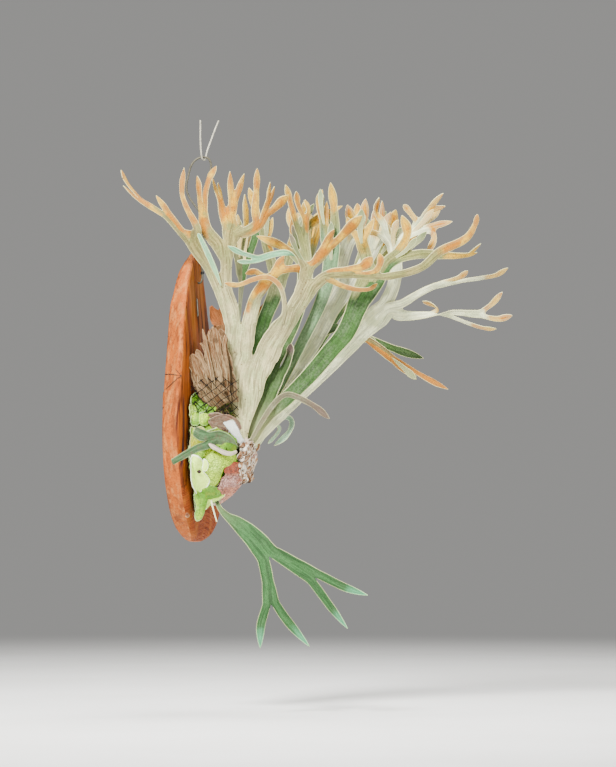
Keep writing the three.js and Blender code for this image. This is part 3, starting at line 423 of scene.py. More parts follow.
def wool_finish(name):
    """White wool that turns green at the stub's cut end."""
    f = Finish(name, {"Specular IOR Level": 0.1, "Sheen Weight": 0.6, "Sheen Roughness": 0.7})
    spot = f.place()
    height = f.split(spot)[2]
    tufts = f.noise(spot, 700.0, 3.0, 0.7)
    skin = f.wash(bpy.context.scene.fern_colours.wool, tint("#c9cfae"), tufts, 0.5, 0.66, 0.6)
    skin = f.wash(skin, tint("#a9b857"), height, -0.3715, -0.368, 0.8)
    return f.end(base_color=skin, roughness=0.97, normal=f.bump(tufts, 0.8, 0.0012))


def ball_finish(name):
    """Soil, moss and roots. The growth attribute is 0 for soil, 1 for moss and 2 for a root."""
    colours = bpy.context.scene.fern_colours
    f = Finish(name, {"Specular IOR Level": 0.1})
    kind, seed, tip = f.split(f.attribute("growth"))
    spot = f.place()
    crumbs = f.noise(spot, 420.0, 4.0, 0.7)
    cloud = f.noise(spot, 50.0, 3.0)
    soil = f.wash(tint("#2a2016"), colours.root, crumbs, 0.4, 0.68)
    soil = f.wash(soil, tint("#2c3316"), cloud, 0.45, 0.62, 0.8)
    moss = f.wash(colours.moss, tint("#86933c"), seed + tip * 0.5, 0.4, 1.3)
    moss = f.wash(moss, tint("#1c2410"), tip, 0.5, 0.0, 0.85)
    root = f.wash(tint("#8f7350"), tint("#4a3826"), seed, 0.2, 0.8)
    skin = f.wash(soil, moss, kind, 0.3, 0.7)
    skin = f.wash(skin, root, kind, 1.4, 1.6)
    return f.end(base_color=skin, roughness=0.95, normal=f.bump(crumbs, 0.9, 0.002))


# Making pieces


def deselect():
    bpy.ops.object.select_all(action="DESELECT")


def choose(piece):
    deselect()
    piece.select_set(True)
    bpy.context.view_layer.objects.active = piece


def mesh_piece(name, points, faces, attributes=()):
    """A new object from points in millimetres. Attributes are lists of vectors, one for each point."""
    mesh = bpy.data.meshes.new(name)
    mesh.from_pydata([tuple(p * MM) for p in points], [], faces)
    for key, values in dict(attributes).items():
        layer = mesh.attributes.new(key, "FLOAT_VECTOR", "POINT")
        layer.data.foreach_set("vector", [c for value in values for c in value])
    mesh.shade_smooth()
    piece = bpy.data.objects.new(name, mesh)
    bpy.context.scene.collection.objects.link(piece)
    choose(piece)
    return piece


def smooth_over(piece):
    """Adds a Subdivision Surface of one level and applies it."""
    choose(piece)
    soft = piece.modifiers.new("soft", "SUBSURF")
    soft.levels = 1
    soft.render_levels = 1
    bpy.ops.object.modifier_apply(modifier=soft.name)
    return piece


def join_pieces(name, pieces):
    """Joins finished pieces into the first of them."""
    deselect()
    for piece in pieces:
        piece.select_set(True)
    bpy.context.view_layer.objects.active = pieces[0]
    bpy.ops.object.join()
    joined = bpy.context.object
    joined.name = name
    joined.data.name = name
    return joined


def dress(piece, nodes, material):
    """Lays a finished piece on the body, in place of its nodes."""
    piece.data.materials.clear()
    piece.data.materials.append(material)
    piece.name = "dressed_" + (nodes[0] if nodes else piece.name)
    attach(piece, "root")
    if nodes:
        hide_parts(*nodes)
    return piece


def thicken(points, faces, thickness):
    """Turns a sheet into a closed skin: its upper points, its under points and the rim between."""
    normals = [Vector() for _ in points]
    edges = {}
    for face in faces:
        corner, *others = (points[i] for i in face)
        normal = (others[0] - corner).cross(others[-1] - corner)
        if len(face) == 4:
            normal = (others[1] - corner).cross(others[2] - others[0])
        for i, j in zip(face, face[1:] + face[:1]):
            normals[i] += normal
            if (j, i) in edges:
                del edges[j, i]
            else:
                edges[i, j] = True
    count = len(points)
    skin = []
    for way in (1, -1):
        for point, normal, thick in zip(points, normals, thickness):
            skin.append(point + normal.normalized() * (way * thick / 2))
    both = [list(face) for face in faces]
    both += [[i + count for i in reversed(face)] for face in faces]
    both += [[j, i, i + count, j + count] for i, j in edges]
    return skin, both


def bridge(faces, lower, upper):
    """Faces between two rows of points, which may have different numbers of them."""
    if len(lower) == len(upper):
        for k in range(len(lower) - 1):
            faces.append([lower[k], lower[k + 1], upper[k + 1], upper[k]])
        return
    i = j = 0
    while i < len(lower) - 1 or j < len(upper) - 1:
        next_lower = (i + 1) / max(1, len(lower) - 1)
        next_upper = (j + 1) / max(1, len(upper) - 1)
        if j == len(upper) - 1 or (i < len(lower) - 1 and next_lower <= next_upper):
            faces.append([lower[i], lower[i + 1], upper[j]])
            i += 1
        else:
            faces.append([lower[i], upper[j + 1], upper[j]])
            j += 1


def hermite(p0, m0, p1, m1, t):
    """A point of the curve between two points that has those two slopes at its ends."""
    t2, t3 = t * t, t * t * t
    return p0 * (2 * t3 - 3 * t2 + 1) + m0 * (t3 - 2 * t2 + t) + p1 * (3 * t2 - 2 * t3) + m1 * (t3 - t2)


def heading(curve, before, after):
    """The direction in which a curve runs from one share of its length to another."""
    return (hermite(*curve, after) - hermite(*curve, before)).normalized()


def headings(places, first, ahead):
    """A branch's direction at each place. The last one leans towards the branches ahead."""
    ways = [first] + [(after - before).normalized() for before, after in zip(places, places[2:])]
    along = (places[-1] - places[-2]).normalized()
    for way in ahead:
        along += way * 0.5
    return [*ways, along.normalized()]


def square_to(normal, tangent):
    """The normal without its part along the tangent."""
    return (normal - tangent * normal.dot(tangent)).normalized()


def smoothstep(value):
    t = min(1.0, max(0.0, value))
    return t * t * (3 - 2 * t)


def is_station(entry):
    return not isinstance(entry[0], (list, tuple))


def whole(value):
    return math.floor(value + 0.5)


COARSE_STEP = 17  # the spacing at which a blade's lean is settled, as on its CAD solid
WEB_FROM = 200  # forks nearer to a frond's foot than this have no web
WEB_LONG = 30  # a web reaches no further than this beyond its crotch
WEB_WIDE = 19  # and is no wider at its free edge


def reach_of(start, entries):
    """The length from a point to the furthest tip of a branch."""
    total = 0.0
    spot = start
    for entry in entries:
        if is_station(entry):
            total += (place(*entry[:3]) - spot).length
            spot = place(*entry[:3])
    return total + max((reach_of(spot, e) for e in entries if not is_station(e)), default=0.0)


class Ribbon:
    """A branching blade. A branch is stations (across, up, near, width, roll), then at a fork two
    branches. Its rows are close together, and its edges wave a little."""

    def __init__(self, cup, seed, ragged=0.0, wave=1.0, ridges=0.0, grain=4.5,
                 swell=0.35, blunt=3.0):
        sizes = bpy.context.scene.fern_sizes
        self.cup = cup
        self.seed = seed
        self.ragged = ragged
        self.ridges = ridges
        self.grain = grain
        self.swell = swell
        self.blunt = blunt
        self.step = sizes.row_step / MM
        self.wave = wave * sizes.edge_wave / MM
        self.blade = sizes.blade / MM
        self.stalk = sizes.stalk / MM
        self.points, self.faces, self.thickness, self.flow, self.inset = [], [], [], [], []

    def across(self, width):
        """How many points a row of that width has."""
        return 2 * max(3, whole(width / self.grain / 2)) + 1

    def row(self, centre, tangent, normal, width, count, travelled, left, middle=0.0):
        """Adds a row of points across the blade, and says which they are."""
        right = tangent.cross(normal)
        phase = noise.noise(Vector((travelled / 16, self.seed * 7.3, 0)))
        swell = 1 + 0.05 * phase
        indices = []
        for i in range(count):
            s = 0.0 if count == 1 else 2 * i / (count - 1) - 1
            dip = self.cup * width * (s * s - 0.4)
            ripple = noise.noise(Vector((travelled / 13, s * 2.0, self.seed * 3.1)))
            dip += self.wave * min(1.0, width / 14) * s * s * ripple * 2.2
            torn = 1.0
            if self.ragged:
                tear = noise.noise(Vector((travelled / 5, s * 0.9, self.seed + 5.0)))
                torn = 1 - self.ragged * max(0.0, tear) * abs(s)
                dip += self.ridges * noise.noise(Vector((s * width / 2.6, travelled / 45, self.seed)))
            point = centre + right * (s * width * swell * torn / 2)
            self.points.append(point + normal * (dip if count > 2 else 0))
            thick = self.blade + (self.stalk - self.blade) * math.exp(-travelled / 30)
            self.thickness.append(thick * (1 - 0.4 * abs(s) ** 3))
            between = smoothstep(0.5 + s)
            tip = left[0] * (1 - between) + left[1] * between
            self.flow.append((middle + s * width / 2, travelled, tip))
            self.inset.append(width / 2 * (1 - abs(s)))
            indices.append(len(self.points) - 1)
        return indices

    def width_at(self, wide, wide_next, share):
        """A blade's width between two stations. A tip rounds off to nothing."""
        if wide_next:
            return wide + (wide_next - wide) * share
        swelling = 1 + self.swell * math.sin(math.pi * share)
        return wide * max(0.0, 1 - share ** self.blunt) ** 0.75 * swelling

    def rows_over(self, row, stretch, shares, leans, at_end):
        """Lays rows over one step of a stretch, from one share of it and one lean to the next."""
        curve, length, start = stretch["curve"], stretch["length"], stretch["start"]
        to_tip = at_end and not stretch["widths"][1]
        fine = max(3 if to_tip else 1, whole(length * (shares[1] - shares[0]) / self.step))
        for j in range(1, fine + 1):
            part = math.sin(j / fine * math.pi / 2) if to_tip else j / fine
            share = shares[0] + (shares[1] - shares[0]) * part
            direction = heading(curve, share - 0.01, share + 0.01)
            lean = square_to(leans[0].lerp(leans[1], part), direction)
            width = self.width_at(*stretch["widths"], share)
            count = self.across(width)
            if j == fine and to_tip:
                count = 1
            elif j == fine and at_end and stretch["forks"]:
                count = 2 * self.across(width / 2) - 1
            here = length * share
            left = [reach - here for reach in stretch["left"]]
            if stretch["ahead"]:
                left = self.by_side(left, stretch["ahead"], direction, lean)
            next_row = self.row(
                hermite(*curve, share), direction, lean, width, count, stretch["travelled"] + here, left,
                start["middle"])
            bridge(self.faces, row, next_row)
            row = next_row
            if "inner" in start:
                start["inner"].append(row[0] if start["way"] > 0 else row[-1])
        return row

    def branch(self, entries, start):
        """Lays a branch's rows from station to station, then its fork."""
        stations = [e for e in entries if is_station(e)]
        forks = [e for e in entries if not is_station(e)]
        places = [start["centre"]] + [place(*s[:3]) for s in stations]
        widths = [start["width"]] + [s[3] for s in stations]
        lengths = [(after - before).length for before, after in zip(places, places[1:])]
        ahead = [(place(*f[0][:3]) - places[-1]).normalized() for f in forks]
        tangents = headings(places, start["tangent"], ahead)
        goal = ahead[1].cross(ahead[0]).normalized() if len(forks) == 2 else None
        beyond = [reach_of(places[-1], f) for f in forks] or [0.0, 0.0]
        row, normal, travelled = start["row"], start["normal"].copy(), start["travelled"]
        for i, length in enumerate(lengths):
            is_tip = widths[i + 1] == 0
            stretch = {
                "curve": (places[i], tangents[i] * length, places[i + 1], tangents[i + 1] * length),
                "length": length, "widths": widths[i:i + 2], "travelled": travelled, "start": start,
                "left": [sum(lengths[i:]) + far for far in beyond], "ahead": ahead,
                "forks": forks and i == len(lengths) - 1,
            }
            steps = max(2 if is_tip else 1, whole(length / COARSE_STEP))
            roll = math.radians(stations[i][4] if len(stations[i]) > 4 else 0) / steps
            share = 0.0
            for k in range(1, steps + 1):
                next_share = math.sin(k / steps * math.pi / 2) if is_tip else k / steps
                tangent = heading(stretch["curve"], next_share - 0.05, next_share)
                next_normal = square_to(normal, tangent)
                if roll:
                    next_normal.rotate(Quaternion(tangent, roll))
                if goal:
                    goal = -goal if goal.dot(next_normal) < 0 else goal
                    rest = (len(lengths) - i - 1) * 3 + (steps - k) + 1
                    next_normal = square_to(next_normal.lerp(goal, 1 / rest), tangent)
                row = self.rows_over(row, stretch, (share, next_share), (normal, next_normal), k == steps)
                share, normal = next_share, next_normal
            travelled += length
        if forks:
            self.fork(forks, ahead, places[-1], row, tangents[-1], normal, widths[-1], travelled,
                      start["middle"])

    @staticmethod
    def by_side(left, ahead, tangent, normal):
        """The lengths left towards the tips, for the left and the right half of a row."""
        right = tangent.cross(normal)
        return left if ahead[0].dot(right) < ahead[1].dot(right) else left[::-1]

    def fork(self, forks, ahead, centre, row, tangent, normal, width, travelled, across):
        """Grows two branches, each from its half of the last row."""
        right = tangent.cross(normal)
        middle = (len(row) - 1) // 2
        right_first = ahead[0].dot(right) > ahead[1].dot(right)
        inner = {1: [], -1: []}
        for i, entries in enumerate(forks):
            way = 1 if (i == 0) == right_first else -1
            along = (tangent * 0.7 + ahead[i]).normalized()
            self.branch(entries, {
                "way": way,
                "inner": inner[way],
                "centre": centre + right * (way * width / 4),
                "row": row[middle:] if way > 0 else row[:middle + 1],
                "width": width / 2,
                "tangent": along,
                "normal": square_to(normal, along),
                "travelled": travelled,
                "middle": across + way * width / 4,
            })
        if travelled > WEB_FROM:
            self.web(row[middle], inner[-1], inner[1], width)

    def web(self, crotch, left, right, width):
        """A web of skin fills the crotch between two branches, up to a rounded edge."""
        left, right = [crotch, *left], [crotch, *right]
        last = 0
        for k in range(1, min(len(left), len(right)) - 2):
            gap = (self.points[left[k]] - self.points[right[k]]).length
            if k * self.step > min(width * 0.9, WEB_LONG) or gap > min(width * 0.85, WEB_WIDE):
                break
            last = k
        if not last:
            return
        for k in range(1, last):
            lower = [left[k - 1], right[k - 1]] if k > 1 else [crotch]
            bridge(self.faces, lower, [left[k], right[k]])
            for i in (left[k], right[k]):
                self.inset[i] += (last - k) * self.step
        self.inset[crotch] += last * self.step
        lower = [left[last - 1], right[last - 1]] if last > 1 else [crotch]
        bridge(self.faces, lower, self.web_edge(left[last], right[last], lower))

    def web_edge(self, left, right, lower):
        """Points along a web's free edge, which dips back towards the crotch."""
        a, b = self.points[left], self.points[right]
        back = (self.points[lower[0]] + self.points[lower[-1]] - a - b) / 2
        edge = [left]
        for t in (0.25, 0.5, 0.75):
            dip = min(0.7, 0.35 * (b - a).length / max(back.length, 0.1)) * math.sin(math.pi * t)
            self.points.append(a.lerp(b, t) + back * dip)
            self.thickness.append(self.thickness[left])
            self.flow.append(tuple(p + (q - p) * t for p, q in zip(self.flow[left], self.flow[right])))
            self.inset.append(0.0)
            edge.append(len(self.points) - 1)
        return [*edge, right]


def side_tines(entries, draw):
    """Small tines that stand out of the plane of a frond's upper forks."""
    stations = [e for e in entries if is_station(e)]
    forks = [e for e in entries if not is_station(e)]
    tines = []
    for fork in forks:
        tines += side_tines(fork, draw)
    inside = 20 < stations[-1][0] < 310 and stations[-1][1] < -84
    if len(stations) < 2 or len(forks) < 2 or stations[-1][3] >= 26 or not inside:
        return tines
    foot = Vector(stations[-1][:3])
    ways = [(Vector(f[0][:3]) - foot).normalized() for f in forks]
    back = foot - (ways[0] + ways[1]).normalized() * 6
    for side in (-1, 1):
        lean = Vector((draw.uniform(-0.5, 0.5), 0, side * draw.uniform(0.5, 0.9)))
        along = (ways[0] + ways[1] + lean).normalized()
        curl = (ways[draw.randrange(2)] - lean * 0.4) * 0.5
        long, wide = draw.uniform(28, 50), draw.uniform(6.5, 9.5)
        spots = [
            back, foot + along * long * 0.3, foot + along * long * 0.65 + curl * 8,
            foot + along * long + curl * 24,
        ]
        tines.append([[*spot, width] for spot, width in zip(spots, (3.0, wide * 0.8, wide, 0))])
    return tines


def frond_piece(name, frond, seed, **shape):
    """A frond's closed blade. Its upper side starts out towards the viewer if face is 1."""
    (first, *rest) = frond["blade"]
    ribbon = Ribbon(frond.get("cup", 0.06), seed, **frond.get("tips", {}), **shape)
    centre = place(*first[:3])
    tangent = (place(*rest[0][:3]) - centre).normalized()
    normal = square_to(NEAR * frond.get("face", 1), tangent)
    normal.rotate(Quaternion(tangent, math.radians(frond.get("roll", 0))))
    total = reach_of(centre, rest)
    row = ribbon.row(centre, tangent, normal, first[3], ribbon.across(first[3]), 0.0, [total, total])
    start = {
        "centre": centre, "row": row, "width": first[3], "tangent": tangent, "normal": normal,
        "travelled": 0.0, "middle": 0.0,
    }
    ribbon.branch(rest, start)
    most = frond.get("stalk", ribbon.stalk)
    skin, faces = thicken(ribbon.points, ribbon.faces, [min(t, most) for t in ribbon.thickness])
    tops = [(i, 1.0, seed) for i in ribbon.inset] + [(i, 0.0, seed) for i in ribbon.inset]
    piece = mesh_piece(name, skin, faces, {"flow": ribbon.flow * 2, "blade": tops})
    return smooth_over(piece)


# The fronds: stations are across, up, near, width and, where given, roll in degrees

# The big silver frond nearest the viewer
FAR_LEFT = [
    [8, -156, 64, 17], [-8, -132, 72, 20.5], [-14, -120, 76, 22.5],
    [[-36, -101, 86, 12], [-50, -84, 92, 13.5],
        [[-65, -58, 96, 0]],
        [[-73, -73, 98, 9], [-86, -65, 100, 9],
            [[-104, -42, 104, 6.5], [-113, -23, 106, 0]],
            [[-110, -45, 112, 0]]]],
    [[-8, -103, 82, 11], [-22, -76, 86, 7.5], [-29, -54, 86, 6.5], [-26, -19, 86, 0]],
]
NEAR_WEB_LEFT = [
    [4, -104, 66, 17], [0, -80, 70, 16],
    [[-5, -55, 72, 9], [-8, -30, 72, 0]],
    [[3, -58, 78, 10], [8, -36, 82, 9], [19, -17, 84, 0]],
]
NEAR_WEB_RIGHT = [
    [40, -110, 60, 28.5],
    [[36, -98, 60, 22], [34, -84, 60, 24.5],
        [[24, -64, 62, 13.5],
            [[12, -31, 66, 0]],
            [[20, -39, 58, 0]]],
        [[42, -62, 58, 15],
            [[37, -23, 62, 0]],
            [[57, -26, 54, 0]]]],
    [[62, -107, 57, 15.5], [76, -97, 56, 17.5],
        [[72, -78, 60, 12], [74, -50, 62, 8], [75, -19, 66, 0]],
        [[87, -82, 54, 15.5],
            [[92, -62, 56, 12],
                [[93, -38, 58, 0]],
                [[99, -44, 50, 0]]],
            [[102, -72, 48, 12], [119, -56, 44, 0]]]],
]
CURLED_TINE = [
    [112, -222, 58, 7], [112, -200, 66, 7], [105, -181, 70, 7], [90, -171, 72, 7],
    [70, -174, 74, 7], [48, -182, 74, 6], [29, -179, 72, 0],
]
NEAR_RIGHT_STRAND = [
    [180, -166, 74, 16], [206, -164, 78, 18],
    [[222, -156, 82, 13], [235, -143, 84, 0]],
    [[238, -167, 80, 14],
        [[246, -152, 84, 9], [245, -138, 86, 0]],
        [[258, -170, 80, 11], [302, -158, 84, 11], [328, -136, 88, 13], [364, -118, 92, 11],
            [377, -98, 96, 7], [380, -84, 98, 0]]],
]
FROND_NEAR_SILVER = {"face": -1, "blade": [
    [56, -401, 22, 9], [54, -380, 25, 20], [56, -358, 26, 31], [59, -330, 28, 47], [62, -302, 30, 59],
    [68, -282, 32, 70],
    [[50, -260, 38, 42], [52, -238, 42, 44],
        [[37, -216, 48, 25], [27, -186, 56, 26],
            FAR_LEFT,
            [[32, -166, 58, 15], [32, -148, 60, 17], [29, -124, 62, 38],
                NEAR_WEB_LEFT,
                NEAR_WEB_RIGHT]],
        [[73, -198, 44, 18], [86, -178, 46, 18],
            [[74, -163, 50, 8], [58, -166, 54, 0]],
            [[104, -160, 46, 17],
                [[113, -140, 44, 0]],
                [[128, -158, 44, 11], [148, -161, 38, 0]]]]],
    [[96, -262, 38, 34], [110, -240, 46, 36],
        CURLED_TINE,
        [[126, -218, 54, 28], [138, -198, 60, 28], [147, -180, 66, 32],
            [[145, -158, 71, 20],
                [[128, -142, 77, 9, 90], [114, -137, 80, 9, 90], [92, -141, 84, 9], [76, -146, 86, 10],
                    [[54, -138, 90, 7], [34, -128, 92, 0]],
                    [[62, -150, 86, 6], [47, -149, 84, 0]]],
                [[162, -143, 70, 17], [173, -128, 70, 19],
                    [[182, -104, 76, 0]],
                    [[198, -108, 68, 14], [221, -85, 70, 0]]]],
            [[170, -171, 72, 17],
                NEAR_RIGHT_STRAND,
                [[194, -183, 66, 8], [214, -188, 64, 7], [232, -187, 62, 6], [242, -179, 62, 0]]]]],
]}

# Fronds behind it, from left to right
FROND_DARK_GREEN = {"blade": [
    [63, -397, 13, 8], [78, -364, 17, 22], [89, -335, 17, 28], [105, -298, 14, 30],
    [[120, -278, 16, 11], [122, -262, 18, 0]],
    [[121, -246, 6, 20], [134, -209, 2, 19], [141, -178, 0, 22], [139, -146, -2, 24],
        [[112, -128, 4, 10.5], [73, -112, 10, 0]],
        [[138, -112, -4, 19.5],
            [[126, -84, 4, 11.5], [120, -62, 6, 9], [114, -40, 8, 0]],
            [[142, -88, -8, 14.5],
                [[131, -66, -2, 9], [129, -49, -2, 0]],
                [[146, -72, -14, 8], [140, -61, -16, 0]]]]],
]}
FROND_BLUE_GREEN = {"blade": [
    [62, -391, 1, 8], [84, -357, -1, 13], [101, -330, -6, 14], [116, -302, -10, 15],
    [140, -255, -14, 16], [162, -209, -18, 18], [174, -172, -20, 21.5], [178, -140, -24, 23.5],
    [[170, -112, -26, 15], [168, -90, -24, 12.5],
        [[172, -62, -24, 0]],
        [[160, -64, -22, 7.5], [166, -46, -20, 0]]],
    [[184, -108, -24, 15], [182, -70, -20, 10], [177, -36, -14, 0]],
]}
FROND_MID_SILVER = {"face": -1, "blade": [
    [60, -399, -9, 8], [67, -392, -9, 9], [92, -358, -17, 17], [111, -328, -25, 19], [130, -297, -34, 20],
    [154, -262, -43, 20], [182, -210, -54, 22], [197, -184, -60, 30.5],
    [[193, -150, -64, 18.5], [203, -118, -66, 19.5],
        [[206, -90, -66, 11.5], [201, -66, -62, 0]],
        [[222, -92, -68, 11.5], [227, -57, -70, 0]]],
    [[221, -157, -60, 19.5], [240, -124, -58, 19.5],
        [[240, -98, -56, 11.5], [241, -70, -56, 0]],
        [[254, -98, -62, 15.5],
            [[250, -60, -62, 0]],
            [[262, -76, -68, 0]]]],
]}
FROND_BROAD_GREEN = {"blade": [
    [68, -401, 5, 9], [87, -366, 10, 19], [113, -342, 14, 21], [148, -307, 20, 23],
    [176, -274, 26, 25], [199, -246, 30, 27], [218, -202, 34, 31], [231, -178, 36, 37.5],
    [[228, -150, 34, 18.5], [220, -118, 32, 18.5],
        [[238, -88, 38, 0]],
        [[206, -102, 26, 8], [200, -86, 24, 0]]],
    [[256, -152, 36, 19.5], [272, -140, 38, 21],
        [[284, -110, 44, 11.5], [276, -84, 48, 0]],
        [[302, -138, 44, 14], [340, -140, 50, 12.5], [370, -139, 56, 10.5],
            [[386, -124, 62, 0]],
            [[381, -136, 50, 0]]]],
]}
SILVER_CROWN = [
    [254, -206, 6, 20], [268, -171, 6, 17], [269, -146, 4, 17], [266, -124, 2, 22],
    [[254, -114, 0, 15],
        [[238, -107, -6, 8], [212, -106, -12, 0]],
        [[250, -92, 4, 10.5, 40], [241, -80, 6, 10.5, 40], [245, -58, 8, 0]]],
    [[278, -113, 4, 16], [294, -105, 5, 17],
        [[299, -93, 0, 13],
            [[286, -76, 0, 8], [279, -68, 2, 0]],
            [[318, -74, 4, 13],
                [[335, -52, 8, 0]],
                [[338, -70, 0, 0]]]],
        [[318, -102, 10, 15.5],
            [[348, -92, 12, 0]],
            [[322, -116, 14, 8], [312, -137, 16, 0]]]],
]
FROND_RIGHT_SILVER = {"face": -1, "blade": [
    [63, -406, -5, 8], [74, -399, -5, 9], [106, -362, -6, 19], [148, -320, -4, 21], [190, -279, 0, 23],
    [221, -246, 3, 27], [240, -228, 4, 34],
    SILVER_CROWN,
    [[258, -217, 3, 25],
        [[276, -207, 8, 12], [302, -192, 13, 11], [322, -183, 16, 10], [344, -177, 18, 12],
            [[358, -170, 22, 8], [369, -161, 24, 0]],
            [[362, -175, 18, 6], [382, -172, 18, 7], [408, -167, 20, 7], [425, -157, 22, 0]]],
        [[276, -224, 0, 14], [318, -221, -6, 13],
            [[328, -214, -16, 7, 60], [318, -207, -22, 8, 60], [306, -203, -22, 0]],
            [[342, -221, -4, 12],
                [[358, -219, 0, 10], [386, -221, 2, 11],
                    [[402, -208, 4, 7], [418, -190, 6, 0]],
                    [[412, -228, 0, 8], [432, -223, -2, 0]]],
                [[370, -234, -10, 6], [393, -241, -12, 6], [410, -242, -14, 0]]]]],
]}
FROND_BACK_DROOP = {"blade": [
    [59, -398, -14, 7], [67, -389, -17, 8], [90, -352, -36, 13], [128, -292, -56, 17], [168, -244, -72, 19],
    [198, -240, -80, 20],
    [[220, -250, -88, 11, 60], [267, -269, -92, 10, 30], [310, -283, -96, 0]],
    [[230, -257, -76, 12, -60], [268, -286, -70, 13, -30],
        [[291, -309, -66, 0]],
        [[304, -306, -72, 8], [344, -327, -78, 0]]],
]}
FROND_GREEN_BEHIND = {"blade": [
    [55, -392, -6, 8], [62, -348, -16, 16], [71, -292, -28, 20], [83, -234, -38, 20],
    [98, -195, -48, 22], [104, -170, -50, 26],
    [[92, -140, -52, 15], [86, -112, -52, 16],
        [[72, -72, -56, 10.5], [62, -42, -60, 0]],
        [[96, -84, -48, 0]]],
    [[118, -142, -50, 16], [128, -112, -48, 17],
        [[124, -82, -44, 0]],
        [[152, -92, -50, 13], [172, -82, -52, 13],
            [[195, -68, -54, 0]],
            [[188, -92, -48, 0]]]],
]}
FROND_REAR_LEFT = {"face": -1, "roll": 40, "blade": [
    [48, -388, -17, 8], [44, -350, -42, 16], [44, -300, -70, 20], [47, -246, -96, 23],
    [50, -206, -110, 30],
    [[50, -168, -92, 19], [48, -136, -78, 21],
        [[40, -98, -64, 13.5], [38, -66, -58, 0]],
        [[58, -92, -86, 12], [56, -50, -92, 0]]],
    [[54, -172, -132, 19], [56, -140, -152, 21],
        [[46, -104, -168, 13.5], [40, -76, -184, 0]],
        [[70, -110, -160, 12], [80, -74, -168, 0]]],
]}
FROND_REAR_MIDDLE = {"face": -1, "roll": 40, "blade": [
    [57, -384, -26, 8], [82, -334, -62, 18], [106, -280, -92, 22], [126, -228, -114, 25],
    [134, -194, -124, 35.5],
    [[142, -160, -104, 20], [148, -128, -92, 21],
        [[140, -92, -84, 13.5], [142, -58, -78, 0]],
        [[162, -96, -98, 13.5], [170, -66, -104, 0]]],
    [[138, -162, -148, 20], [140, -130, -168, 21],
        [[126, -96, -176, 13.5], [118, -66, -190, 0]],
        [[154, -98, -182, 13.5], [162, -72, -196, 0]]],
]}
FROND_REAR_RIGHT = {"roll": -40, "blade": [
    [60, -399, -20, 7], [70, -386, -29, 8], [104, -342, -58, 16], [146, -288, -88, 20],
    [184, -230, -112, 24],
    [208, -192, -124, 33],
    [[232, -160, -108, 19], [252, -132, -100, 21],
        [[262, -98, -92, 13.5], [270, -72, -88, 0]],
        [[282, -118, -106, 12], [304, -98, -110, 0]]],
    [[218, -156, -146, 19], [230, -124, -164, 21],
        [[220, -88, -174, 13.5], [216, -60, -186, 0]],
        [[256, -104, -174, 12], [276, -84, -186, 0]]],
]}
FROND_STRAP = {"blade": [
    [66, -398, 22, 5], [82, -370, 34, 7], [98, -347, 42, 8], [114, -334, 46, 8],
    [130, -337, 46, 9], [156, -351, 50, 8], [176, -368, 52, 0],
]}
FROND_SMALL_ARCH = {"blade": [
    [63, -410, -11, 5.5], [74, -405, -14, 6], [85, -389, -20, 8], [98, -374, -22, 10],
    [[106, -381, -28, 6], [98, -394, -30, 5], [89, -403, -30, 0]],
    [[113, -365, -20, 9], [123, -371, -18, 8], [118, -388, -18, 7], [98, -406, -20, 0]],
]}
FROND_STUB = {"stalk": 3, "blade": [
    [55, -404, 31, 9], [49, -394, 43, 9], [43, -384, 54, 12], [33, -368, 65, 15],
]}
SHIELD_MAUVE = {"stalk": 1.2, "cup": 0.02, "blade": [
    [46, -394, 38, 12], [42, -389, 47, 15], [33, -377, 57, 22], [19, -366, 66, 18], [7, -362, 72, 5],
]}
FROND_FORKED = {"blade": [
    [47, -411, 26, 8], [43, -407, 46, 11], [34, -398, 64, 17], [20, -393, 76, 22], [8, -397, 86, 23],
    [[-2, -390, 94, 18], [-12, -384, 102, 15]],
    [[-8, -408, 98, 11], [-30, -420, 116, 10], [-42, -427, 124, 9]],
]}
FROND_HANGING = {"tips": {"swell": 0.05, "blunt": 1.4}, "blade": [
    [16, -471, 30, 5], [19, -484, 40, 6], [24, -494, 46, 8], [34, -504, 48, 12],
    [46, -512, 52, 20], [70, -533, 58, 29], [90, -557, 64, 35],
    [[122, -567, 70, 22], [154, -587, 74, 26],
        [[195, -600, 82, 12], [229, -612, 88, 0]],
        [[174, -624, 74, 12], [201, -659, 76, 0]]],
    [[90, -594, 60, 18], [94, -624, 58, 25],
        [[80, -655, 58, 13], [79, -687, 58, 0]],
        [[118, -650, 52, 13], [148, -685, 48, 0]]],
]}
THIN_STALK = {"stalk": 1.8, "blade": [[10, -470, 42, 2.4], [12, -486, 54, 2.4], [19, -511, 58, 1.6]]}


SHIELD_DRY_NEAR = {"stalk": 1, "cup": 0.03, "blade": [
    [26, -350, 52, 24], [14, -334, 60, 38], [8, -316, 62, 40],
    [[-3, -304, 64, 20], [-11, -290, 66, 9], [-16, -277, 67, 2]],
    [[12, -292, 62, 22], [8, -272, 63, 15],
        [[-4, -262, 64, 2]],
        [[8, -246, 62, 3]]],
]}
SHIELD_DRY_MID = {"stalk": 1, "cup": 0.03, "blade": [
    [36, -346, 4, 36], [32, -320, 6, 46], [28, -290, 8, 50], [24, -268, 10, 50],
    [[13, -256, 12, 26], [12, -242, 12, 8]],
    [[32, -256, 8, 24], [30, -244, 8, 10]],
]}
SHIELD_DRY_FAR = {"roll": 33, "stalk": 1, "cup": 0.03, "blade": [
    [40, -338, -24, 46], [44, -300, -31, 66], [48, -262, -34, 84], [49, -238, -35, 90],
    [[26, -226, -20, 44], [21, -216, -16, 36],
        [[9, -210, -8, 6]],
        [[22, -202, -16, 5]]],
    [[71, -226, -50, 44], [73, -216, -50, 36],
        [[61, -208, -44, 6]],
        [[85, -206, -58, 6]]],
]}


# How far behind the board's front its flat back lies
BACK = 31.0
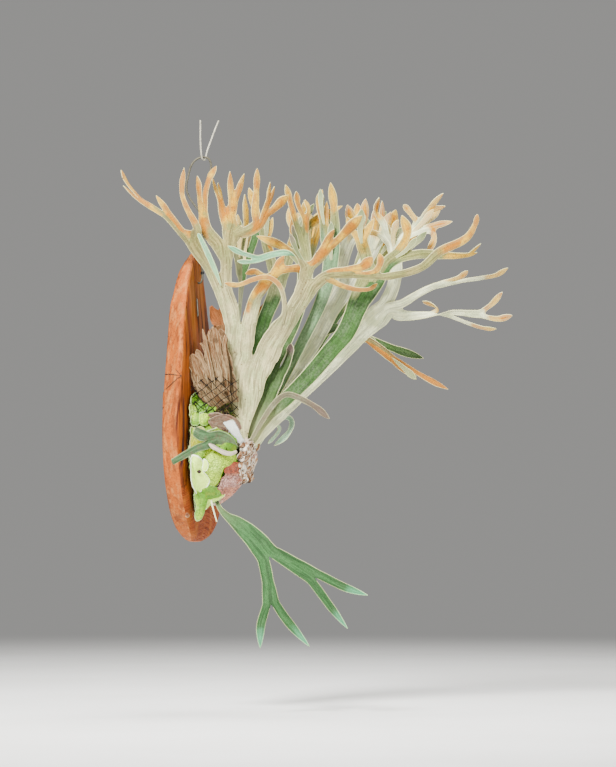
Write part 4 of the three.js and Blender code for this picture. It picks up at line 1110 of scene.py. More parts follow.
# The slab's sections: up, the front's near and far edge, the front's and the back's depth, and the
# back's near and far edge
BOARD_ROWS = [
    [-133, -4, 3, 11, 14, -4, 3],
    [-140, -17, 10, 9, 17, -16, 9],
    [-152, -32, 14, 7, 21, -30, 12],
    [-168, -47, 18, 6, 25, -43, 15],
    [-188, -62, 23, 4.5, 28, -52, 19],
    [-210, -76, 28, 3, BACK, -60, 24],
    [-240, -89, 36, 1.5, BACK, -69, 31],
    [-275, -99, 51, 0, BACK, -78, 45],
    [-315, -107, 70, 0, BACK, -88, 62],
    [-355, -111, 86, 0, BACK, -97, 77],
    [-395, -108, 97, 0, BACK, -99, 88],
    [-435, -99, 101, 0, BACK, -93, 92],
    [-470, -86, 98, 0, BACK, -80, 88],
    [-500, -68, 84, 0, BACK, -60, 74],
    [-520, -48, 66, 1, 29, -40, 56],
    [-533, -28, 44, 4, 25, -22, 36],
    [-539, -12, 26, 9, 20, -10, 22],
]


# The root ball and what lies over it

BALL = {"middle": -412.0, "side": 78.0, "out": 58.0, "above": 96.0, "below": 74.0}


def over_ball(reach, angle, lift):
    """A point over the ball. reach is 0 at its outermost point and 1 where it meets the board, and
    runs on over the board past 1. angle is 0 towards the viewer's side and 90 straight up."""
    a = math.radians(angle)
    rise = BALL["above"] if math.sin(a) > 0 else BALL["below"]
    spread = math.sin(reach * math.pi / 2) if reach < 1 else 1 + (reach - 1) * 0.9
    out = math.cos(reach * math.pi / 2) if reach < 1 else 0.0
    slope = Vector((
        -math.cos(a) * spread / BALL["side"],
        -max(out, 0.02) / BALL["out"],
        math.sin(a) * spread / rise,
    ))
    if reach >= 1:
        slope = Vector((0, -1, 0))
    point = Vector((
        -math.cos(a) * spread * BALL["side"],
        -out * BALL["out"] - 0.3,
        BALL["middle"] + math.sin(a) * spread * rise,
    ))
    return point + slope.normalized() * lift


def on_ball(across, up):
    """The point of the ball, or of the board beside it, that the viewer sees there, and its normal."""
    rise = BALL["above"] if up > BALL["middle"] else BALL["below"]
    room = 1 - ((up - BALL["middle"]) / rise) ** 2
    x0, x1 = ACROSS.x * across, NEAR.x
    y0, y1 = ACROSS.y * across, NEAR.y
    side, out = BALL["side"] ** 2, BALL["out"] ** 2
    a = x1 * x1 / side + y1 * y1 / out
    b = 2 * (x0 * x1 / side + y0 * y1 / out)
    c = x0 * x0 / side + y0 * y0 / out - room
    inside = b * b - 4 * a * c
    if inside >= 0 or (across > 0 and room > 0):
        near = (-b + math.sqrt(max(0.0, inside))) / (2 * a)
        point = place(across, up, near)
        if point.y <= 0:
            normal = Vector((point.x / side, point.y / out, (up - BALL["middle"]) / rise ** 2))
            return point, normal.normalized()
    return place(across, up, -y0 / y1), Vector((0, -1, 0))


def through(stops, spacing):
    """Points along the smooth curve through some stops, about that far apart."""
    line = [stops[0].copy()]
    ends = [stops[0] * 2 - stops[1], *stops, stops[-1] * 2 - stops[-2]]
    for p0, p1, p2, p3 in zip(ends, ends[1:], ends[2:], ends[3:]):
        d0, d1, d2 = (math.sqrt(max(1e-6, (b - a).length)) for a, b in ((p0, p1), (p1, p2), (p2, p3)))
        m1 = ((p1 - p0) / d0 - (p2 - p0) / (d0 + d1) + (p2 - p1) / d1) * d1
        m2 = ((p2 - p1) / d1 - (p3 - p1) / (d1 + d2) + (p3 - p2) / d2) * d1
        count = max(1, whole((p2 - p1).length / spacing))
        line += [hermite(p1, m1, p2, m2, k / count) for k in range(1, count + 1)]
    return line


def wire_piece(name, route, diameter, spacing=1.5, wobble=0.12):
    """A stiff wire along a route, with the small kinks of a wire bent by hand."""
    line = through(route, spacing)
    curve = bpy.data.curves.new(name, "CURVE")
    curve.dimensions = "3D"
    curve.bevel_depth = diameter / 2 * MM
    curve.bevel_resolution = 3
    curve.use_fill_caps = True
    spline = curve.splines.new("POLY")
    spline.points.add(len(line) - 1)
    for point, spot in zip(spline.points, line):
        point.co = (*((spot + noise.noise_vector(spot / 11) * wobble) * MM), 1)
    piece = bpy.data.objects.new(name, curve)
    bpy.context.scene.collection.objects.link(piece)
    choose(piece)
    bpy.ops.object.convert(target="MESH")
    bpy.ops.object.shade_smooth_by_angle(angle=math.radians(50))
    return piece


# Finishes of the made pieces


def wire_finish(name, colour, rough=0.5, metal=0.3):
    """A dull wire with darker clouds and a few rusty spots."""
    f = Finish(name)
    spot = f.place()
    cloud = f.noise(spot, 160.0, 3.0)
    skin = f.wash(colour, shade(colour, 0.6), cloud, 0.45, 0.7)
    skin = f.wash(skin, tint("#6b4a30"), f.noise(spot, 90.0, 4.0, 0.7), 0.62, 0.74, 0.35)
    shine = f.ramp(cloud, 0.3, 0.7, rough, rough + 0.22)
    scratches = f.bump(f.noise(spot, 1400.0, 2.0), 0.25, 0.0003)
    return f.end(base_color=skin, metallic=metal, roughness=shine, normal=scratches)


def net_finish(name):
    """Black plastic with a little dust."""
    f = Finish(name, {"Specular IOR Level": 0.15})
    dust = f.noise(f.place(), 600.0, 3.0, 0.7)
    skin = f.wash(bpy.context.scene.fern_colours.net, tint("#2a2a22"), dust, 0.6, 0.8, 0.4)
    shine = f.ramp(dust, 0.3, 0.7, 0.6, 0.8)
    return f.end(base_color=skin, roughness=shine, normal=f.bump(dust, 0.3, 0.0003))


def wood_patterns(f):
    """The slab's upright grain, which bends into rings round its lower end."""
    p = SimpleNamespace(spot=f.place())
    p.x, p.y, p.z = x, y, z = f.split(p.spot)
    p.drift = drift = f.noise(f.stretched(p.spot, (9.0, 9.0, 4.0)), 1.0, 2.0)
    upright = f.noise(f.join((x + drift * 0.03) * 240.0, y * 200.0, z * 9.0), 1.0, 4.0, 0.6)
    rise = (z + 0.575) * 1.35
    around = (x * x + rise * rise) ** 0.5
    rings = f.noise(f.join(around * 190.0 + drift * 5.0, around * 700.0, drift * 3.0), 1.0, 3.0, 0.6)
    p.low = f.ramp(z + (drift - 0.5) * 0.08, -0.43, -0.48)
    p.grain = upright * (1.0 - p.low) + rings * p.low
    p.broad = f.noise(f.join((x + drift * 0.05) * 62.0, y * 50.0, z * 3.2), 1.0, 3.0, 0.6)
    p.pores = f.noise(f.join(x * 1500.0, y * 1500.0, z * 80.0), 1.0, 2.0)
    crack = f.ramp(abs(x + 0.095 + (drift - 0.5) * 0.02), 0.0036, 0.0012)
    p.crack = crack * f.ramp(z, -0.44, -0.425) * f.ramp(z, -0.33, -0.345)
    return p


def front_wood(f, p):
    """The oiled front, with dark grain, redder wood low down and a crack near its edge."""
    colours = bpy.context.scene.fern_colours
    front = f.wash(colours.wood, colours.grain, p.grain, 0.46, 0.6, 0.9)
    front = f.wash(front, tint("#aa6618"), p.broad, 0.5, 0.62, 0.45)
    front = f.mix(front, tint("#5e2a14"), f.ramp(p.broad, 0.46, 0.36, 0.0, 0.8) * (1.0 - p.low))
    front = f.mix(front, tint("#6a2208"), p.low * 0.4)
    front = f.mix(front, colours.grain, f.ramp(p.pores, 0.56, 0.68, 0.0, 0.5) * (1.0 - p.low * 0.8))
    return f.mix(front, tint("#2b1420"), p.crack)


def side_wood(f, spot, depth):
    """The live edge, rougher and paler than the front, and darker where it meets the back."""
    speck = f.cells(f.stretched(spot, (1.0, 1.0, 0.5)), 420.0)
    worn = f.noise(f.stretched(spot, (1.0, 1.0, 0.3)), 130.0, 3.0, 0.6)
    stain = f.noise(f.stretched(spot, (1.0, 1.0, 0.4)), 60.0, 4.0, 0.7)
    side = f.wash(bpy.context.scene.fern_colours.band, tint("#b47a44"), worn, 0.46, 0.62, 0.5)
    side = f.wash(side, tint("#74320f"), f.noise(spot, 380.0, 3.0, 0.75), 0.5, 0.64, 0.6)
    side = f.wash(side, tint("#6a3218"), stain, 0.5, 0.62, 0.7)
    side = f.wash(side, tint("#40201a"), speck, 0.2, 0.1, 0.5)
    return f.wash(side, tint("#4e2618"), depth, 26.0, 31.0, 0.6)


def chipped(f, skin, p):
    """A pale chip with a dark rim, low on the live edge."""
    aside = f.add(
        "VectorMath", {"operation": "DISTANCE"}, {"Vector": p.spot, "Vector_001": (-0.07, 0.0, -0.505)},
        output="Value",
    )
    skin = f.wash(skin, tint("#e6c493"), aside + (p.grain - 0.5) * 0.008, 0.0085, 0.006, 0.9)
    return f.wash(skin, tint("#5c2018"), abs(aside - 0.0068), 0.0012, 0.0004, 0.8)


def board_finish(name):
    """Oiled wood. Its wood attribute holds how far a point lies on the side, how deep, and how far in."""
    f = Finish(name, {"Specular IOR Level": 0.12})
    band, depth, edge = f.split(f.attribute("wood"))
    p = wood_patterns(f)
    front = front_wood(f, p)
    corner = f.ramp(p.z + (p.drift - 0.5) * 0.04, -0.31, -0.39, 0.0, 6.0)
    on_side = f.ramp(band, 0.35, 0.65) * f.ramp(depth - corner, -0.6, 0.6)
    skin = f.mix(front, side_wood(f, p.spot, depth), on_side)
    sawn = f.mix(front, shade(bpy.context.scene.fern_colours.band, 0.8), 0.55)
    back = p.y + f.ramp(p.z, -0.2, -0.14, 0.0, 0.0125) + f.ramp(p.z, -0.512, -0.545, 0.0, 0.0085)
    skin = f.wash(skin, sawn, back, 0.0288, 0.0303)
    knot = f.ramp(abs(p.z + 0.362), 0.034, 0.012) * f.ramp(abs(depth - corner - 0.4), 1.9, 0.5)
    skin = f.mix(skin, tint("#38100c"), knot * f.ramp(band, 0.1, 0.5) * 0.85)
    lip = f.ramp(edge, 5.0, 1.0) * f.ramp(band, 0.9, 0.5)
    skin = chipped(f, f.mix(skin, tint("#6d3b22"), lip * 0.45), p)
    height = p.grain * 0.5 + p.pores * 0.25 - p.crack * 3.0 + f.noise(p.spot, 300.0, 3.0) * band
    shine = f.ramp(p.grain, 0.3, 0.7, 0.6, 0.8)
    return f.end(base_color=skin, roughness=shine, normal=f.bump(height, 0.5, 0.0009))


# Pieces


WIRE_HOLE = (-11, -178)
DRILL = 3.8
THREAD_ROUND = 0.9
THREADS = [
    [(-52.5, -306), (-47, -305.6), (-41, -306.2), (-35, -307), (-30, -308), (-34, -311), (-39, -315.5),
     (-44, -320), (-51, -326.5)],
    [(-36, -300), (-33.5, -303.5), (-30, -308)],
]


def board_rows():
    """The slab's sections from its top to its lower tip, on smooth curves through BOARD_ROWS."""
    ends = [BOARD_ROWS[0], *BOARD_ROWS, BOARD_ROWS[-1]]
    rows = []
    for p0, p1, p2, p3 in zip(ends, ends[1:], ends[2:], ends[3:]):
        count = max(2, whole((p1[0] - p2[0]) / 4))
        for i in range(count):
            t = i / count
            rows.append([
                0.5 * (2 * b + (c - a) * t + (2 * a - 5 * b + 4 * c - d) * t * t
                       + (3 * b - a - 3 * c + d) * t ** 3)
                for a, b, c, d in zip(p0, p1, p2, p3)
            ])
    return [*rows, BOARD_ROWS[-1]]


def board_section(near, far, front, back, back_near, back_far):
    """A level section of the slab. Each point has its place, its depth and how far on the side it is."""
    inset = (far - near) * 0.05
    shoulder = front + (back - front) * 0.16
    waist = front + (back - front) * 0.55

    def side(*stops):
        bend = through([Vector((*stop, 0)) for stop in stops], 3.0)[1:]
        return [(p.x, p.y, smoothstep((p.y - front) / 3)) for p in bend]

    ring = [(near + inset + (far - near - 2 * inset) * i / 26, front, 0.0) for i in range(27)]
    swell = (far + back_far) / 2 + 1
    ring += side((far - inset, front), (far, shoulder), (swell, waist), (back_far, back))
    ring += [(back_far + (back_near - back_far) * i / 10, back, 0.8) for i in range(1, 11)]
    swell = (near + back_near) / 2 - 1
    ring += side((back_near, back), (swell, waist), (near, shoulder), (near + inset, front))
    return ring[:-1]


def close_end(points, faces, wood, base, most, way):
    """Rounds off the slab's top or its lower tip, from the ring of points that starts at base."""
    ring = list(range(base, base + most))
    middle = sum((points[i] for i in ring), Vector()) / most
    for share, rise in ((0.75, 0.8), (0.4, 1.3)):
        inner = list(range(len(points), len(points) + most))
        points += [middle.lerp(points[base + i], share) + UP * (way * rise) for i in range(most)]
        for i in range(most):
            j = (i + 1) % most
            faces.append([ring[i], ring[j], inner[j], inner[i]][::way])
        ring = inner
    points.append(middle + UP * (way * 1.4))
    for i in range(most):
        faces.append([ring[i], ring[(i + 1) % most], len(points) - 1][::way])
    wood += [(1.0, 12.0, 0.0)] * (len(points) - len(wood))


def board_skin():
    """The slab's rough skin and its wood attribute: how far on the side, how deep, and how far in."""
    rows = board_rows()
    rings = [board_section(*row[1:]) for row in rows]
    most = max(len(ring) for ring in rings)
    points, faces, wood = [], [], []
    for (up, near, far, front, *_), ring in zip(rows, rings):
        for i in range(most):
            share = i / most * len(ring)
            a, b = ring[int(share)], ring[(int(share) + 1) % len(ring)]
            x, y, band = (p + (q - p) * (share % 1) for p, q in zip(a, b))
            spot = Vector((x, y, up))
            rough = noise.fractal(spot / 17, 1.0, 2.0, 3) * (0.25 + 1.1 * band)
            if y > BACK - 1.5:
                rough = 0.0
            out = Vector((math.copysign(band, x - (near + far) / 2), band - 1.0, 0))
            points.append(spot + out * rough)
            wood.append((band, y - front, min(x - near, far - x)))
    last = (len(rows) - 1) * most
    for base in range(0, last, most):
        for i in range(most):
            j = (i + 1) % most
            faces.append([base + i, base + most + i, base + most + j, base + j])
    close_end(points, faces, wood, 0, most, 1)
    close_end(points, faces, wood, last, most, -1)
    return points, faces, wood


def drill_hole(board, points, wood):
    """Drills the wire's hole. The nearest old point gives each point its wood attribute back."""
    bpy.ops.mesh.primitive_cylinder_add(
        vertices=32, radius=DRILL / 2 * MM, depth=60 * MM,
        location=(WIRE_HOLE[0] * MM, BACK / 2 * MM, WIRE_HOLE[1] * MM), rotation=(math.pi / 2, 0, 0),
    )
    drill = bpy.context.object
    choose(board)
    hole = board.modifiers.new("hole", "BOOLEAN")
    hole.operation = "DIFFERENCE"
    hole.object = drill
    bpy.ops.object.modifier_apply(modifier=hole.name)
    bpy.data.objects.remove(drill)
    tree = kdtree.KDTree(len(points))
    for i, point in enumerate(points):
        tree.insert(point * MM, i)
    tree.balance()
    kept = [wood[tree.find(v.co)[1]] for v in board.data.vertices]
    attributes = board.data.attributes
    layer = attributes.get("wood") or attributes.new("wood", "FLOAT_VECTOR", "POINT")
    layer.data.foreach_set("vector", [c for value in kept for c in value])


def edge_thread(board):
    """The thin thread that is wound over the board's near edge."""
    def on_side(across, up):
        found, spot, normal, _ = board.ray_cast(place(across, up, 300) * MM, -NEAR)
        if not found:
            raise RuntimeError("The thread misses the board")
        return (spot + normal * THREAD_ROUND * MM / 2) / MM

    return join_pieces("edge_thread", [
        wire_piece("edge_thread", [on_side(*spot) for spot in route], THREAD_ROUND, 1.0, 0.0)
        for route in THREADS
    ])


def dress_board():
    """The slab, drilled for the wire, with the thread over its edge."""
    points, faces, wood = board_skin()
    board = mesh_piece("board", points, faces, {"wood": wood})
    drill_hole(board, points, wood)
    bpy.ops.object.shade_smooth_by_angle(angle=math.radians(45))
    dress(board, ["board"], board_finish("board wood"))
    dress(edge_thread(board), (), wire_finish("thread", tint("#2a211c"), 0.8, 0.0))


def hanger_route():
    """Out of the hole, up past the tie, round the loop, then wound round its own first leg."""
    route = [Vector(p) for p in (
        (-11, 27, -178), (-11, 14, -178), (-11, 5, -178), (-11, 1.6, -177.6),
        (-9.6, 0, -173), (-6, 0.6, -164), (-3.4, 2.8, -150))]
    route += [place(*p) for p in (
        (-2, -130, 1), (-1, -112, 0), (-0.5, -98, 0), (0, -84, 0), (2.5, -70, 0), (5, -55, 0),
        (7.6, -36, 0), (9.4, -20, 0), (9.6, -10.6, 0), (6.6, -4, 0), (0, -1.5, 0), (-8, -3.2, 0),
        (-14.5, -8, 0), (-18.8, -15.5, 0), (-21.6, -26, 0), (-24.2, -38, 0), (-24.4, -47, 0),
        (-20.5, -58, 0), (-13, -69, 1), (-6, -78, 2))]
    for i in range(31):
        angle = math.pi / 2 + i / 12 * 2 * math.pi
        route.append(place(3.3 * math.cos(angle) - 0.3, -84 - i / 30 * 16, 3.3 * math.sin(angle)))
    return route


STAPLE = [
    (-24, 9, -200.4), (-24, 4.4, -200.4), (-24, 3.1, -200.9), (-24, 2.7, -202.4), (-24, 2.1, -212),
    (-24, 1.5, -222.6), (-24, 1.9, -224.1), (-24, 3.2, -224.6), (-24, 9, -224.6),
]
HANGING = [
    (-5, 50, 6), (-5, 36, 5.5), (-5, 22, 5), (-4.2, 8, 4.4), (-3.4, 0, 3.9), (-1.9, -4.4, 2.6),
    (0, -5.6, 0), (1.6, -4.4, -2.6), (2.8, 0, -3.9), (4.6, 8, -4.8), (10, 23, -6), (15.5, 38, -7),
    (20.5, 50, -8),
]


def dress_wires():
    """The hanger with its loop, the tie, the staple and the V-shaped wire above."""
    colours, sizes = bpy.context.scene.fern_colours, bpy.context.scene.fern_sizes
    route = hanger_route()
    hanger = wire_piece("hanger_wire", route, sizes.loop_wire / MM)
    dress(hanger, ["hanger_wire"], wire_finish("hanger steel", colours.steel))
    staple = wire_piece("staple_wire", [Vector(p) for p in STAPLE], sizes.staple_wire / MM, 1.0, 0.0)
    dress(staple, ["staple_wire"], wire_finish("staple steel", tint("#7d786c"), 0.6, 0.2))
    hanging = wire_piece("hanging_wire", [place(*p) for p in HANGING], sizes.hang_wire / MM, 1.5, 0.1)
    dress(hanging, ["hanging_wire"], wire_finish("pale steel", colours.pale_steel, 0.35))
    thin = sizes.tie_wire / MM
    along = (route[6] - route[4]).normalized()
    side = along.orthogonal().normalized()
    around = sizes.loop_wire / MM / 2 + thin / 2 + 0.1
    loops = []
    for i in range(34):
        turned = side.copy()
        turned.rotate(Quaternion(along, i / 12 * 2 * math.pi))
        loops.append(route[5] + turned * around + along * (i / 12 - 1.4) * thin)
    tie = wire_piece("tie_wire", loops, thin, 1.0, 0.02)
    dress(tie, ["tie_wire"], wire_finish("tie", tint("#2c2a28"), 0.5, 0.4))


def tube_along(points, faces, line, radius, sides=3, taper=0.6):
    """Adds a thin closed tube along a line of points. taper is how much thinner its end is."""
    start = len(points)
    for i, spot in enumerate(line):
        along = (line[min(i + 1, len(line) - 1)] - line[max(i - 1, 0)]).normalized()
        across = along.cross(Vector((0.3, 0.2, 0.9))).normalized()
        for k in range(sides):
            turned = across.copy()
            turned.rotate(Quaternion(along, 2 * math.pi * k / sides))
            points.append(spot + turned * (radius * (1 - taper * i / len(line))))
    for i in range(len(line) - 1):
        for k in range(sides):
            a, b = start + i * sides + k, start + i * sides + (k + 1) % sides
            faces.append([a, b, b + sides, a + sides])
    faces.append([start + k for k in reversed(range(sides))])
    faces.append([len(points) - sides + k for k in range(sides)])


ROOTS = 130


def soil_dome(around=110, rings=26):
    """The rough dome of soil, closed by a flat back against the board."""
    def rough(reach, angle):
        spot = over_ball(reach, angle, 0)
        lift = noise.fractal(spot / 14, 1.0, 2.0, 4) * 2.6 - 1.4
        return over_ball(reach, angle, lift * min(1.0, (1.02 - reach) * 6))

    points, faces = [rough(0, 0)], []
    for r in range(1, rings + 1):
        points += [rough(r / rings, 360 * i / around) for i in range(around)]
    points.append(Vector((0, -0.3, BALL["middle"])))
    last = 1 + (rings - 1) * around
    for i in range(around):
        j = (i + 1) % around
        faces.append([0, 1 + j, 1 + i])
        for a in range(1, last, around):
            faces.append([a + i, a + j, a + j + around, a + i + around])
        faces.append([last + i, last + j, len(points) - 1])
    return points, faces


def add_moss(points, faces, growth, draw):
    """Adds tufts of five small leaves each."""
    for _ in range(bpy.context.scene.fern_sizes.moss):
        reach, angle = draw.uniform(0.2, 1.02), draw.uniform(-20, 200)
        foot = over_ball(reach, angle, -1.5)
        out = (over_ball(reach, angle, 1) - over_ball(reach, angle, 0)).normalized()
        seed = draw.random()
        for _ in range(5):
            lean = Vector([draw.uniform(-0.8, 0.8) for _ in range(3)])
            tip = foot + (out + lean).normalized() * draw.uniform(3.0, 5.6)
            wide = out.cross(lean).normalized() * draw.uniform(0.35, 0.6)
            points += [foot - wide, foot + wide, tip]
            faces.append([len(points) - 3, len(points) - 2, len(points) - 1])
            growth += [(1.0, seed, 0.0), (1.0, seed, 0.0), (1.0, seed, 1.0)]


def add_roots(points, faces, growth, draw):
    """Adds thin roots that wander over the soil."""
    for _ in range(ROOTS):
        reach, angle = draw.uniform(0.3, 1.0), draw.uniform(-180, 180)
        turn = draw.uniform(-math.pi, math.pi)
        line = []
        for _ in range(11):
            turn += draw.uniform(-0.5, 0.5)
            reach = min(1.03, max(0.12, reach + math.sin(turn) * 0.045))
            angle += math.cos(turn) * 4
            line.append(over_ball(reach, angle, draw.uniform(-0.6, 1.2)))
        before = len(points)
        tube_along(points, faces, line, draw.uniform(0.35, 0.75))
        growth += [(2.0, draw.random(), 0.0)] * (len(points) - before)


def dress_root_ball():
    """The dome of soil with its moss and roots."""
    points, faces = soil_dome()
    growth = [(0.0, 0.0, 0.0)] * len(points)
    draw = random.Random(41)
    add_moss(points, faces, growth, draw)
    add_roots(points, faces, growth, draw)
    ball = mesh_piece("root_ball", points, faces, {"growth": growth})
    dress(ball, ["root_ball"], ball_finish("soil, moss and roots"))


def slanting_strands(points, faces, columns, rows, spot_at):
    """Adds the two sets of strands that make a net's diamonds. spot_at gives a strand's point at a
    column and row, or nothing where there is no net."""
    radius = bpy.context.scene.fern_sizes.net_strand / MM / 2
    for way in (1, -1):
        for offset in range(-rows, columns + rows + 1):
            if offset % 2 == 0:
                continue
            line = []
            for k in range(4 * columns + 1):
                column = k / 4
                row = (column - offset) * way
                spot = spot_at(column, row) if 0 <= row <= rows else None
                if spot:
                    line.append(spot)
                if line and (not spot or k == 4 * columns):
                    if len(line) > 2:
                        tube_along(points, faces, line, radius, 4, 0.0)
                    line = []


# How many columns and rows of cells each part of the net has
BALL_CELLS = (28, 9)
DRY_CELLS = (13, 12)


def net_round_ball(column, row):
    """A knot of the net over the ball, or nothing where it is cut away for the dried shield."""
    angle = 158 - 174 * column / BALL_CELLS[0]
    reach = 0.45 + 0.56 * row / BALL_CELLS[1]
    base = over_ball(reach, angle, 0)
    spot = base / 22
    across, near = base.dot(ACROSS), base.dot(NEAR)
    over_lobe = smoothstep((base.z + 366) / 8) if near > 0 and across < 14 else 0.55
    lift = 2.2 + 7.0 * over_lobe + 1.4 * noise.noise(spot) + 0.6 * noise.noise(spot * 4)
    slip = noise.noise_vector(spot * 2.5) * 1.6
    point = over_ball(reach, angle, lift) + Vector((slip.x, 0, slip.z))
    top = min(-332, -356 - 0.35 * (across - 20) + 40 * (across < 4))
    if near > 0 and across < 40 and point.z > top:
        return None
    under_lobe = math.hypot((across - 24) / 20, (point.z + 386) / 17)
    return point - NEAR * (lift - 0.6) * smoothstep((1.4 - under_lobe) / 0.5)


def net_over_dry(column, row):
    """A knot of the loose net over the dried shield's foot, or nothing past its edges."""
    across = -27 + 6.0 * column
    up = -372 + 5.5 * row - 0.12 * across
    if across > 43 or across < -24 or up > -316 or up < -362 - 0.5 * (across - 4):
        return None
    slip = noise.noise_vector(Vector((across / 14, up / 14, 3.0))) * 1.8
    base, normal = on_ball(across + slip.x, up + slip.y)
    point = base + normal * 8.4
    over_dry = smoothstep((up + 354) / 14) * smoothstep((across + 14) / 9)
    front = 69 - 0.5 * max(0.0, across - 12) - 0.4 * max(0.0, up + 330)
    return point + NEAR * (max(0.0, front - point.dot(NEAR)) * over_dry)


def dress_net():
    """Diamond cells of black plastic, wrapped over the ball's upper side and the dried sheet's foot."""
    points, faces = [], []
    slanting_strands(points, faces, *BALL_CELLS, net_round_ball)
    slanting_strands(points, faces, *DRY_CELLS, net_over_dry)
    dress(mesh_piece("net", points, faces), ["net"], net_finish("black net"))


# Each shield: where its sheet starts, its lift, and its outer edge as angle and reach
GREEN_SHEET = {
    "inner": 0.26, "lift": 2.6, "thickness": 1.4, "bulge": 2.0,
    "edge": [
        (24, 0.62), (14, 0.8), (4, 0.97), (-14, 1.03), (-26, 1.05), (-38, 0.9), (-52, 1.28), (-64, 1.4),
        (-76, 1.16), (-92, 1.02), (-110, 1.12), (-130, 1.0), (-150, 1.05), (-176, 0.98), (-200, 0.7),
    ],
}
OLD_SHEET = {
    "inner": 0.3, "lift": 4.4, "thickness": 1.2, "bulge": 0.8,
    "edge": [(-34, 0.5), (-48, 0.66), (-64, 0.78), (-84, 0.84), (-104, 0.8), (-122, 0.6), (-134, 0.44)],
}
SIDE_SHEET = {
    "inner": 0.64, "lift": 1.0, "thickness": 0.9, "bulge": 0.8,
    "edge": [
        (4, 0.8), (10, 0.96), (17, 0.86), (25, 0.99), (32, 0.88), (39, 0.99), (46, 0.88), (53, 0.98),
        (58, 0.8),
    ],
}


def value_at(stops, spot):
    """The value at a spot between stops, each a spot and its value, or the one value given."""
    if not isinstance(stops, list):
        return stops
    for (a0, r0), (a1, r1) in zip(stops, stops[1:]):
        if (spot - a0) * (spot - a1) <= 0:
            return r0 + (r1 - r0) * smoothstep((spot - a0) / (a1 - a0))
    return stops[-1][1]


def shield_sheet(name, sheet, tone, seed):
    """A sheet wrapped over the ball, with soft folds and a rim that lifts."""
    first, last = sheet["edge"][0][0], sheet["edge"][-1][0]
    columns, rings = whole(abs(last - first) / 2.2), 22
    points, faces, lobe = [], [], []
    for c in range(columns + 1):
        angle = first + (last - first) * c / columns
        outer = value_at(sheet["edge"], angle) + 0.035 * noise.noise(Vector((angle / 5, seed, 0)))
        for r in range(rings + 1):
            share = r / rings
            reach = sheet["inner"] + (outer - sheet["inner"]) * share
            spot = over_ball(reach, angle, 0)
            swell = 0.5 + 0.5 * math.sin(angle * 0.11 + share * 4.5)
            rise = sheet["lift"] + sheet["bulge"] * swell + 1.8 * noise.fractal(spot / 16, 1.0, 2.0, 3)
            rise += sheet["bulge"] * 0.8 * smoothstep((share - 0.85) / 0.15)
            points.append(over_ball(reach, angle, max(0.8, rise)))
            lobe.append((share, tone + 0.35 * noise.noise(spot / 24), 0.25))
    for c in range(columns):
        for r in range(rings):
            a, b = c * (rings + 1) + r, (c + 1) * (rings + 1) + r
            faces.append([a, a + 1, b + 1, b] if last > first else [b, b + 1, a + 1, a])
    skin, both = thicken(points, faces, [sheet["thickness"]] * len(points))
    return smooth_over(mesh_piece(name, skin, both, {"lobe": lobe * 2}))


# Lobes that the viewer sees, their outlines in millimetres across and up from the loop's crest
LOBES = {
    "netted": dict(lift=3.0, dome=3.2, tone=1.0, edge=[
        (-20, -336), (-13, -332), (-4, -332), (4, -336), (8, -344), (6, -353), (1, -360), (-7, -362),
        (-14, -358), (-19, -351), (-21, -343)]),
    "sliver": dict(lift=3.6, dome=1.0, tone=0.1, edge=[
        (-22, -347), (-18, -350), (-15, -357), (-14, -364), (-17, -370), (-20, -367), (-22, -358)]),
    "upper left": dict(lift=4.0, dome=2.4, tone=0.95, edge=[
        (-18, -361), (-11, -359), (-5, -362), (-3, -368), (-6, -377), (-12, -379), (-18, -376), (-20, -368)]),
    "round": dict(lift=5.0, dome=3.0, tone=0.75, edge=[
        (-5, -364), (0, -362), (6, -364), (8, -370), (5, -377), (-1, -379), (-5, -376), (-6, -370)]),
    "ragged": dict(lift=4.6, dome=2.2, tone=1.35, edge=[
        (-18, -379), (-11, -381), (-4, -379), (1, -382), (1, -389), (3, -396), (-1, -402), (1, -408),
        (-7, -411), (-13, -407), (-19, -410), (-20, -399), (-18, -391), (-20, -384)]),
}
GREEN_LOBES = {
    "main": dict(lift=4.0, dome=9.0, tone=0.42, rim=0.0, pale=0.0, edge=[
        (1, -412), (14, -405), (26, -410), (37, -413), (43, -421), (38, -429), (29, -432), (24, -441),
        (20, -451), (14, -460), (6, -466), (0, -456), (-4, -436)]),
    "left": dict(lift=8.0, dome=3.0, tone=-0.1, rim=1.6, pale=0.9, bumps=0.35, edge=[
        (-24, -427), (-20, -420), (-12, -416), (-4, -420), (0, -428), (-1, -436), (3, -441), (7, -447),
        (4, -456), (-6, -464), (-15, -470), (-21, -466), (-25, -456), (-26, -441)]),
    "notch": dict(lift=12.5, dome=1.0, tone=-0.2, rim=0.8, pale=1.0, bumps=0.2, edge=[
        (-1, -421), (3, -424), (4, -431), (1, -436), (-3, -434), (-2, -428)]),
    "fold": dict(lift=7.8, dome=4.4, tone=1.12, rim=0.4, pale=0.1, edge=[
        (-8, -462), (0, -454), (12, -456), (22, -462), (24, -471), (14, -477), (2, -478), (-6, -472)]),
    "lower": dict(lift=4.0, dome=4.0, tone=1.0, rim=0.4, pale=0.2, free=(56, -0.5, -0.1), edge=[
        (-15, -472), (-6, -467), (4, -470), (3, -486), (0, -496), (-2, -503), (-6, -509), (-12, -510),
        (-14, -500), (-12, -490)]),
    "strip": dict(lift=2.0, dome=3.0, tone=0.25, rim=0.6, pale=0.7, free=(50, -0.4, -0.05), edge=[
        (-2, -476), (10, -470), (26, -468), (30, -472), (22, -480), (10, -485), (2, -494), (-3, -490)]),
}
